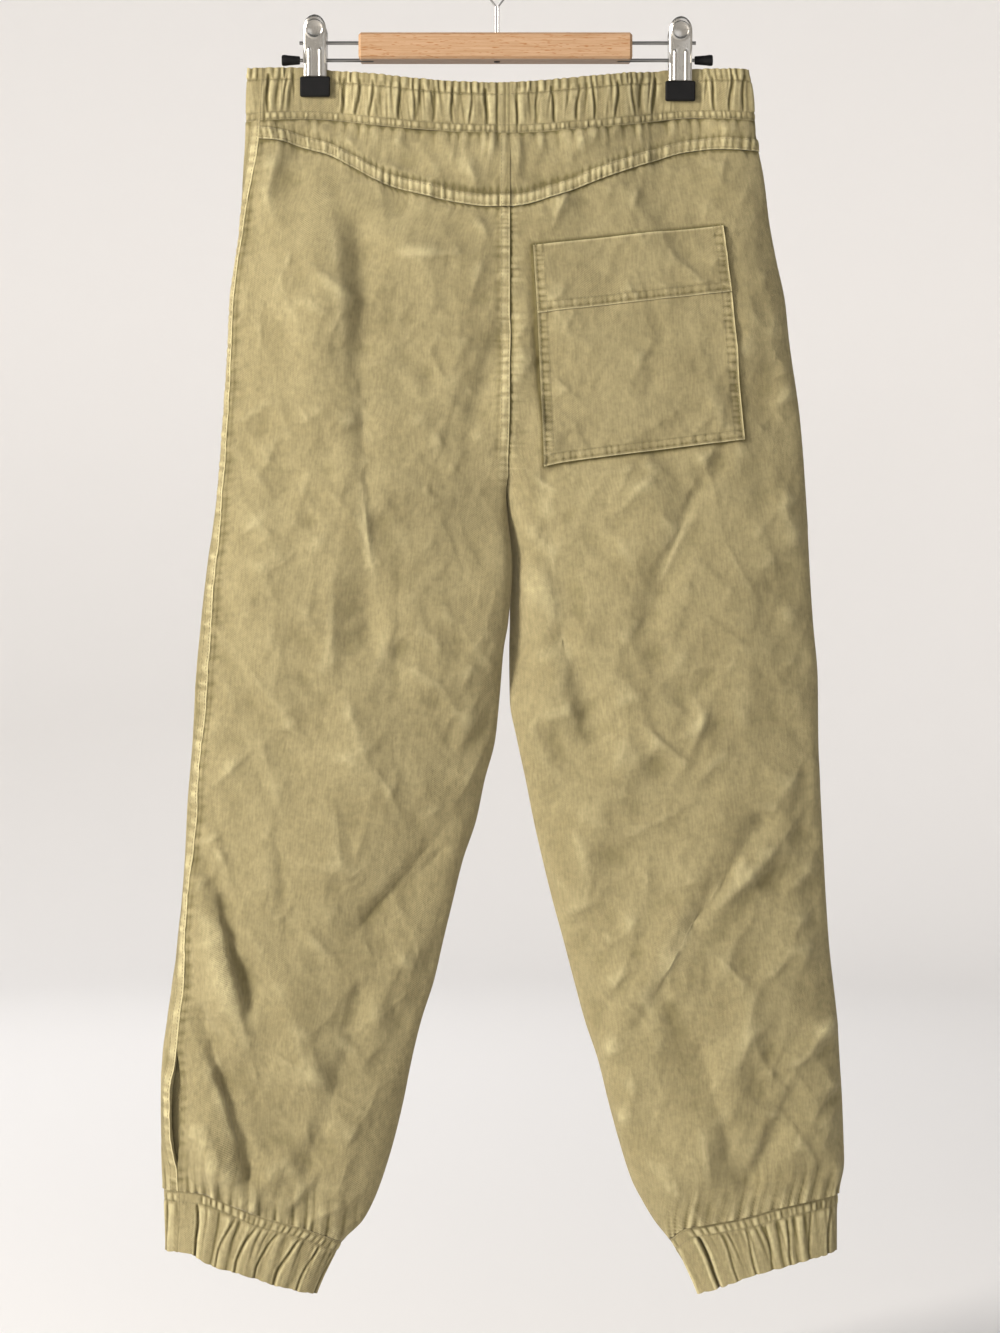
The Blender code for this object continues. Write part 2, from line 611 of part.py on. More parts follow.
def build_hanger():
    half = BAR["depth"] / 2
    bar = box(
        "hanger_bar", (BAR["left"], -half, -BAR["bottom"]), (BAR["right"], half, -BAR["top"]),
        "beech", HANGER, BAR["round"],
    )
    bar = plain_mesh(bar)
    for word, outer in (("left", -1), ("right", 1)):
        end = BAR["left"] if outer < 0 else BAR["right"]
        inside = end - outer * SOCKET
        clip = CLIPS[0] if outer < 0 else CLIPS[1]
        stub = clip[1] + outer * 13.0
        tail = clip[5]
        for level, drop, finish in (("upper", UPPER_WIRE, stub), ("lower", LOWER_WIRE, tail)):
            name = "wire_" + level + "_" + word
            hole = rod(
                "cut_" + name, (inside, 0, -drop), (end + outer * 2, 0, -drop), WIRE / 2 + GAP,
                "steel", CUTTERS,
            )
            combine(bar, cutter(plain_mesh(hole)), "DIFFERENCE")
            rod(name, (inside - outer * -GAP, 0, -drop), (finish, 0, -drop), WIRE / 2, "steel", HANGER)
        bpy.ops.mesh.primitive_cone_add(
            vertices=20, radius1=4.4 * MM, radius2=3.2 * MM, depth=9.0 * MM,
            location=((tail + outer * (4.5 + GAP)) * MM, 0, -LOWER_WIRE * MM),
            rotation=(0, outer * math.pi / 2, 0),
        )
        cap = bpy.context.object
        cap.name = "wire_cap_" + word
        put(cap, "rubber", HANGER)
    build_stem(bar)
    for clip in CLIPS:
        build_clip(*clip)


def build_stem(bar):
    centre = -LOOP_RADIUS
    tangent = math.acos(LOOP_RADIUS / (STEM_FORK - LOOP_RADIUS))
    start = -math.pi / 2 + tangent
    half = STEM_PITCH / 2
    wire = STEM_WIRE / 2
    path = [(half, -BAR["top"] - 10.0), (half, -STEM_FORK - 1.5)]
    for step in range(25):
        angle = start + (math.pi - 2 * start) * step / 24
        radius = LOOP_RADIUS + wire
        path.append((radius * math.cos(angle), centre + radius * math.sin(angle)))
    path += [(-half, -STEM_FORK - 1.5), (-half, -BAR["top"] - 10.0)]
    curve = bpy.data.curves.new("hanger_stem", "CURVE")
    curve.dimensions = "3D"
    curve.render_resolution_u = 0
    curve.bevel_depth = wire * MM
    curve.bevel_resolution = 2
    curve.use_fill_caps = True
    line = curve.splines.new("POLY")
    line.points.add(len(path) - 1)
    for point, (x, z) in zip(line.points, path):
        point.co = (x * MM, 0.0, z * MM, 1.0)
    stem = bpy.data.objects.new("hanger_stem", curve)
    put(stem, "steel", HANGER)
    hole = box(
        "cut_stem", (-half - wire - GAP, -wire - GAP, -BAR["top"] - 10.0 - GAP),
        (half + wire + GAP, wire + GAP, -BAR["top"] + 3.0), "steel", CUTTERS,
    )
    combine(bar, cutter(plain_mesh(hole)), "DIFFERENCE")


def build_clip(word, centre, top, jaw_end, tip_end, tail):
    tip_face = CLOTH + 2 * GAP + 1.3
    for face, sign in (("front", -1), ("back", 1)):
        name = "clip_" + word + "_" + face
        lower = sign * (tip_face + 0.9)
        upper = sign * 12.0
        jaw = jaw_sheet(name + "_jaw", centre, top, jaw_end, upper, lower)
        ear_x = JAW_WIDTH / 2 - (0.0 if face == "front" else 0.5)
        for hand in (-1, 1):
            outer = centre + hand * ear_x
            inner = outer - hand * 1.0
            if face == "back":
                outer = outer - hand * 1.0
                inner = inner - hand * 1.0
            reach = sorted((sign * 9.4, -sign * 2.6))
            ear = box(
                "add_" + name, (min(outer, inner), reach[0], -96.0), (max(outer, inner), reach[1], -74.0),
                "steel", CUTTERS,
            )
            combine(jaw, cutter(plain_mesh(ear)), "UNION")
        for drop in (UPPER_WIRE, LOWER_WIRE):
            hole = rod(
                "cut_hole_" + name, (centre - 15, 0, -drop), (centre + 15, 0, -drop), WIRE / 2 + GAP,
                "steel", CUTTERS,
            )
            combine(jaw, cutter(plain_mesh(hole)), "DIFFERENCE")
        low, high = sorted((sign * (tip_face - 0.9), sign * (tip_face - 0.9 + TIP_DEPTH)))
        box(
            name + "_tip", (centre - TIP_WIDTH / 2, low, -tip_end),
            (centre + TIP_WIDTH / 2, high, -jaw_end - GAP), "rubber", HANGER, 1.0,
        )


def jaw_sheet(name, centre, top, bottom, upper, lower):
    # A flat jaw with a round top, leaning from the pinched end out to the finger end.
    half = JAW_WIDTH / 2
    outline = [(-half, -bottom), (half, -bottom), (half, -top - 12.0)]
    for step in range(1, 10):
        angle = math.pi * step / 10
        outline.append((half * math.cos(angle), -top - 12.0 + 12.0 * math.sin(angle)))
    outline.append((-half, -top - 12.0))
    curve = bpy.data.curves.new(name, "CURVE")
    curve.dimensions = "2D"
    curve.fill_mode = "BOTH"
    curve.render_resolution_u = 0
    curve.extrude = JAW_SHEET / 2 * MM
    line = curve.splines.new("POLY")
    line.points.add(len(outline) - 1)
    for point, (x, z) in zip(line.points, outline):
        point.co = (x * MM, (z + bottom) * MM, 0.0, 1.0)
    line.use_cyclic_u = True
    obj = bpy.data.objects.new(name, curve)
    put(obj, "steel", HANGER)
    lean = math.atan2(upper - lower, bottom - top)
    obj.rotation_euler = (math.pi / 2 - lean, 0.0, 0.0)
    obj.location = Vector((centre, lower, -bottom)) * MM
    return plain_mesh(obj)


for old in list(bpy.data.objects):
    bpy.data.objects.remove(old)
SLOTS = {name: material(name) for name in MATERIALS}
TROUSERS = new_collection("cuffed_trousers")
HANGER = new_collection("clip_hanger")
CUTTERS = new_collection("cutters")
build_trousers()
build_hanger()
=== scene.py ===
import math

import bmesh
import bpy
import numpy as np
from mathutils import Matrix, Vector


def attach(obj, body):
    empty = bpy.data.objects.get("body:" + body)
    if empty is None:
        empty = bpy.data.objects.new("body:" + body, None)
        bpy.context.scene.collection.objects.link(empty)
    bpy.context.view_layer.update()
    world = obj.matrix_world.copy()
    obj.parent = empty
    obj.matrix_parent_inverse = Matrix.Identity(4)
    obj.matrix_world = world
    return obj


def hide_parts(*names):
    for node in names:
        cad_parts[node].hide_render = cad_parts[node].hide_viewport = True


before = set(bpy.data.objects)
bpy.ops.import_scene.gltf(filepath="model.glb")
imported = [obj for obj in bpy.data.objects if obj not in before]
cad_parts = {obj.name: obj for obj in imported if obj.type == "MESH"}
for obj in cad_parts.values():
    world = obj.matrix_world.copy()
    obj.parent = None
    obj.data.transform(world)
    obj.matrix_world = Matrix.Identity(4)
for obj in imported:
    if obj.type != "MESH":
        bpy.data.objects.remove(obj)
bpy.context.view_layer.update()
print("frame loaded:", len(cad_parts), "nodes")

mm = 0.001
left, right = -1, 1
seamGap = 0.3
panelWall = 1.8
bandWall = 1.5
pocketWall = 1.2
pocketLift = 0.45
firstStitch = 1.4

# The form of the garment, in millimetres; drop is the distance below the hanging loop.
# Outline of the hung garment: drop, left edge x, right edge x.
outline = [
    (98.5, -204, 206.5), (124.5, -205.5, 210), (157.5, -206.5, 213), (190, -208.5, 219),
    (223, -210, 223), (256, -214, 229), (288.5, -218.5, 236), (321.5, -220, 239.5),
    (387, -224.5, 248.5), (452.5, -230, 253.5), (502, -237, 256), (551, -242.5, 259),
    (600, -247, 263), (649.5, -249.5, 263.5), (698.5, -253.5, 265.5), (748, -256, 268),
    (813.5, -261.5, 272), (879, -270.5, 279), (912, -274.5, 281), (944.5, -275.5, 283),
    (994, -275, 284.5), (1022.5, -273, 279.5), (1067.5, -272, 279), (1110, -272, 279),
]
# Inner edge of each leg: drop, left leg x, right leg x. Above the crotch it is the centre seam.
innerEdge = [
    (90, 10.5, 10.5), (374.5, 10.5, 10.5), (428, 8.5, 8.5), (445.5, 6.9, 8.1),
    (465, 8.5, 8.5), (485.5, 11, 9.5), (506, 12.5, 10.5), (551, 9.5, 10.5),
    (575.5, 5.5, 10), (616.5, 2, 10.5), (649.5, -1.5, 16.5), (682, -10, 23.5),
    (715, -17, 30), (748, -28, 37.5), (780.5, -36, 45.5), (813.5, -44, 54.5),
    (846, -51.5, 63), (879, -62, 72), (912, -70, 83), (944.5, -76.5, 91),
    (977.5, -84.5, 100), (1010, -94.5, 110.5), (1026.5, -101, 119), (1043, -110, 129),
    (1060.5, -127, 142.5), (1103, -147.5, 164), (1110, -150, 166),
]
# Half depth of the sections: drop, half depth, how far each leg's inner edge leaves the middle plane.
depths = [
    (98, 14, 0), (141, 16, 0), (190, 20, 0), (256, 24, 0),
    (340, 26, 0), (445.5, 24, 0), (500, 22, 8), (560, 22, 8),
    (640, 22, 0), (850, 22, 0), (985, 21, 0), (1020, 17, 0),
    (1045, 15, 0), (1110, 14, 0),
]
# Side seam of the left leg, seen on the back: drop, back panel edge x, front panel edge x.
leftSeam = [
    (98, -193, -193), (144.5, -193.5, -193.5), (171.5, -195, -195), (192, -199, -199),
    (215.5, -205, -205), (245, -209.5, -209.5), (270.5, -212.5, -212.5), (303.5, -215.5, -215.5),
    (370.5, -218.5, -218.5), (435.5, -223, -223), (487, -227, -227), (529, -231, -231),
    (570.5, -234, -234), (608.5, -237, -237), (639, -239, -239), (681.5, -243, -243),
    (724, -246, -246), (766.5, -249, -249), (813.5, -251, -251), (852, -253.5, -253.5),
    (881.5, -257.5, -257.5), (901, -259, -259), (913.5, -257, -261), (940.5, -254.5, -264.5),
    (968.5, -255, -264.5), (988, -258, -262), (1001, -259.5, -259.5), (1110, -259, -259),
]
# Side seam of the right leg, hidden on the front: drop, distance from the outer edge, half opening.
rightSeam = [
    (98, 6, 0), (300, 6, 0), (600, 10, 0), (901, 13, 0),
    (940.5, 14, 4.5), (968.5, 14, 4.5), (1001, 13, 0), (1110, 13, 0),
]
# Seam lines across the garment: x, drop.
waistTop = [
    (-204, 99), (-160, 98.5), (-134.5, 101), (-101.5, 105), (-65, 109.5), (-28.5, 112.5),
    (2.5, 113), (46, 110.5), (85.5, 106.5), (125.5, 102.5), (160.5, 99.5), (208.5, 100),
]
waistSeam = [
    (-206, 143.5), (-184.5, 142), (-160, 141), (-138, 142), (-101.5, 147.5), (-65, 151.5),
    (-28.5, 154), (10.5, 155), (65.5, 151.5), (105, 147.5), (140, 142), (160.5, 140.5),
    (208.5, 142),
]
yokeSeam = [
    (-196, 157.5), (-174.5, 160), (-156.5, 166), (-138, 171.5), (-119.5, 181), (-90, 197),
    (-65, 204.5), (-28.5, 213), (-5.5, 215.5), (11.5, 215.5), (46, 207.5), (85.5, 192.5),
    (125.5, 178), (155, 169), (179, 166.5), (214, 167),
]
# Seam and hem lines of the ankle cuffs: share of the leg's width from the outer edge, drop.
cuffSeam = {
    left: [(0, 1017), (0.17, 1018.5), (0.37, 1030), (0.47, 1036.5), (0.68, 1045.5), (1, 1060.5)],
    right: [(0, 1022.5), (0.29, 1031.5), (0.52, 1040.5), (0.70, 1045.5), (0.85, 1050), (1, 1060.5)],
}
cuffHem = {
    left: [(0, 1067), (0.12, 1067.5), (0.28, 1077), (0.52, 1085.5), (0.71, 1093.5), (1, 1103)],
    right: [(0, 1067), (0.17, 1072.5), (0.45, 1081.5), (0.65, 1088.5), (0.85, 1097), (1, 1102.5)],
}
# Largest folds: start x, start drop, end x, end drop, half width, depth (a ridge is negative).
mainFolds = [
    (-110.5, 231, -110.5, 395, 13, 5), (-108, 395, -102.5, 561, 13, 4.5),
    (-150, 220, -150, 420, 16, -3), (-205, 480, -137, 411, 9, 2.5),
    (-245, 735, -223, 780, 9, 3), (-223, 780, -202, 862, 9, 3.5),
    (-236, 880, -203, 1000, 11, 6), (-110, 860, -150, 985, 11, 3),
    (158.5, 452, 119, 556, 11, 4.5), (37, 440, 53.5, 567, 13, 5.5),
    (53.5, 567, 80, 640, 11, 4.5), (80.5, 695, 174.5, 690, 9, 2.5),
    (215, 715, 158.5, 797, 10, 4), (158.5, 797, 117.5, 880, 10, 4),
    (166, 900, 195, 1000, 10, 4.5), (240, 936, 205, 1010, 9, 3),
    (245, 640, 262, 830, 9, 3), (10, 300, -22, 400, 9, 3),
]
# Grip of the clips on the cloth: clip x, half width held flat, reach of the pull.
clipGrips = [(-148.8, 13.5, 24.0), (150.0, 13.5, 24.0)]
# Height of the pull: drop, share.
clipPull = [(90, 1), (126, 1), (150, 0.62), (200, 0.25), (300, 0), (1200, 0)]

crotch = 445.5
riseBend = 74.0
# The bend is a mean over several heights: first and last shift, and how many.
riseBlend = (-16, 8, 9)
# The folds of the back are mirrored on the front, a little nearer the middle and shallower.
mirrored = {"reach": 0.96, "depth": 0.75}
yokeFade = 120.0
cuffFade = 170.0

# Back patch pocket: corners x, drop; the band is the part above the band line.
pocketCorners = [(29.5, 247.5), (183.5, 230.5), (201, 404.5), (38.5, 425)]
bandLine = [(33, 302.5), (190, 284.5)]


def table(rows, column):
    # A smooth curve through one column of a table, without overshoot between its rows.
    rows = np.array(rows, dtype=float)
    order = np.argsort(rows[:, 0])
    knots, values = rows[order, 0], rows[order, column]
    chord = np.diff(values) / np.diff(knots)
    before, after = np.append(chord[:1], chord), np.append(chord, chord[-1:])
    level = before * after <= 0
    slopes = np.where(level, 0.0, 2 * before * after / np.where(level, 1.0, before + after))

    def curve(x):
        x = np.clip(x, knots[0], knots[-1])
        i = np.clip(np.searchsorted(knots, x, side="right") - 1, 0, len(knots) - 2)
        span = knots[i + 1] - knots[i]
        t = (x - knots[i]) / span
        a = values[i] * (1 + 2 * t) * (1 - t) ** 2 + slopes[i] * span * t * (1 - t) ** 2
        return a + values[i + 1] * t * t * (3 - 2 * t) - slopes[i + 1] * span * t * t * (1 - t)

    return curve


def arcShare(ratio, reach):
    # The angle on a flattened arc for a share of its length.
    angle = np.linspace(0.0, reach, 400)
    steps = np.hypot(np.diff(np.cos(angle)), ratio * np.diff(np.sin(angle)))
    length = np.concatenate([[0.0], np.cumsum(steps)])
    return lambda s: np.interp(s, length / length[-1], angle)


def bell(off, width):
    return np.exp(-((off / width) ** 2))


outerX = {left: table(outline, 1), right: table(outline, 2)}
innerX = {left: table(innerEdge, 1), right: table(innerEdge, 2)}
halfDepth = table(depths, 1)
innerShift = table(depths, 2)
backSeamX = table(leftSeam, 1)
frontSeamX = table(leftSeam, 2)
seamInset = table(rightSeam, 1)
seamOpening = table(rightSeam, 2)
pullShare = table(clipPull, 1)
hipAngle = arcShare(0.12, math.pi / 2)
legAngle = arcShare(0.22, math.pi)


def legShare(drop):
    # 0 where the section is one half of the hips, 1 where it is a whole leg; rounded off at the crotch.
    total = 0.0
    for shift in np.linspace(*riseBlend):
        t = np.clip((drop + shift - crotch + riseBend) / riseBend, 0.0, 1.0)
        total = total + (1.0 - np.sqrt(1.0 - t * t)) / riseBlend[2]
    return total


def foldDepth(x, drop, face):
    # How deep the largest folds sink the cloth at each place.
    total = np.zeros(np.broadcast(x, drop).shape)
    for x1, d1, x2, d2, width, depth in mainFolds:
        if face > 0:
            x1, x2 = -x1 * mirrored["reach"], -x2 * mirrored["reach"]
            depth = depth * mirrored["depth"]
        run = (x2 - x1) ** 2 + (d2 - d1) ** 2
        t = np.clip(((x - x1) * (x2 - x1) + (drop - d1) * (d2 - d1)) / run, 0.0, 1.0)
        off = np.hypot(x - x1 - t * (x2 - x1), drop - d1 - t * (d2 - d1))
        total = total + depth * bell(off, width)
    return total


def ring(side, drop, s):
    # s runs from -1 (back, inner seam) through 0 (outer edge) to 1 (front, inner seam).
    s, drop = np.broadcast_arrays(np.asarray(s, dtype=float), np.asarray(drop, dtype=float))
    face = np.where(s < 0, -1.0, 1.0)
    hip, leg = hipAngle(np.abs(s)), legAngle(np.abs(s))
    outer, inner, half = outerX[side](drop), innerX[side](drop), halfDepth(drop)
    w = legShare(drop)
    share = (1 - w) * (1 - np.cos(hip)) + w * (1 - np.cos(leg)) / 2
    bulge = (1 - w) * np.sin(hip) + w * np.sin(leg)
    x = outer + (inner - outer) * share
    folds = np.where(s < 0, foldDepth(x, drop, -1), foldDepth(x, drop, 1))
    depth = half * bulge - folds * np.clip(bulge * 1.6 - 0.3, 0.0, 1.0)
    pull = pullShare(drop)
    for clipX, hold, reach in clipGrips:
        away = np.maximum(np.abs(x - clipX) - hold, 0.0) / reach
        grip = pull * np.exp(-away * away)
        depth = depth * (1 - grip) + (panelWall + seamGap) * grip
    shift = side * innerShift(drop) * np.clip(share, 0.0, 1.0) ** 3
    return x, face * depth + shift


def across(side, points, s, guess):
    # A seam drawn over the garment: the drop where the ring at that height crosses it.
    curve = table(points, 1)
    drop = np.full(np.shape(s), float(guess))
    for _ in range(4):
        drop = curve(ring(side, drop, s)[0])
    return drop


def aroundLeg(points, side, s):
    return table(points[side], 1)((1 - np.cos(legAngle(np.abs(s)))) / 2)


def sideSeam(side, drop, panel):
    # The s of the side seam on the given panel, found by halving.
    drop = np.asarray(drop, dtype=float)
    if side == left:
        target = (backSeamX if panel == "back" else frontSeamX)(drop)
        low, high, turn = np.full(drop.shape, -0.5), np.zeros(drop.shape), -1
    else:
        opening = seamOpening(drop) * (-1 if panel == "back" else 1)
        target = outerX[side](drop) - seamInset(drop) - opening
        low, high, turn = np.zeros(drop.shape), np.full(drop.shape, 0.5), 1
    for _ in range(30):
        middle = (low + high) / 2
        inside = np.abs(ring(side, drop, middle)[0]) < np.abs(target)
        if turn < 0:
            low, high = np.where(inside, middle, low), np.where(inside, high, middle)
        else:
            low, high = np.where(inside, low, middle), np.where(inside, middle, high)
    return (low + high) / 2


def halfLength(side, drop):
    # Length of the back half of a section.
    s = np.linspace(-1.0, 0.0, 60)
    x, y = ring(side, np.atleast_1d(drop).astype(float)[:, None], s[None, :])
    return np.hypot(np.diff(x, axis=1), np.diff(y, axis=1)).sum(axis=1)


def seamAtSide(side, seam, guess):
    # The drop where a seam across the garment meets the side seam.
    s = sideSeam(side, np.array([guess]), "back")
    return float(across(side, seam, s, guess)[0])


def points(side, drop, s):
    x, y = ring(side, drop, s)
    return np.stack([x, y, -np.broadcast_to(drop, np.shape(x))], axis=-1)


def normals(side, drop, s):
    # Outward directions of the smooth garment surface.
    turn = 0.002
    around = points(side, drop, np.clip(s + turn, -1, 1)) - points(side, drop, np.clip(s - turn, -1, 1))
    down = points(side, drop + 1.0, s) - points(side, drop - 1.0, s)
    normal = np.cross(around, down) * -side
    return normal / np.linalg.norm(normal, axis=-1, keepdims=True)


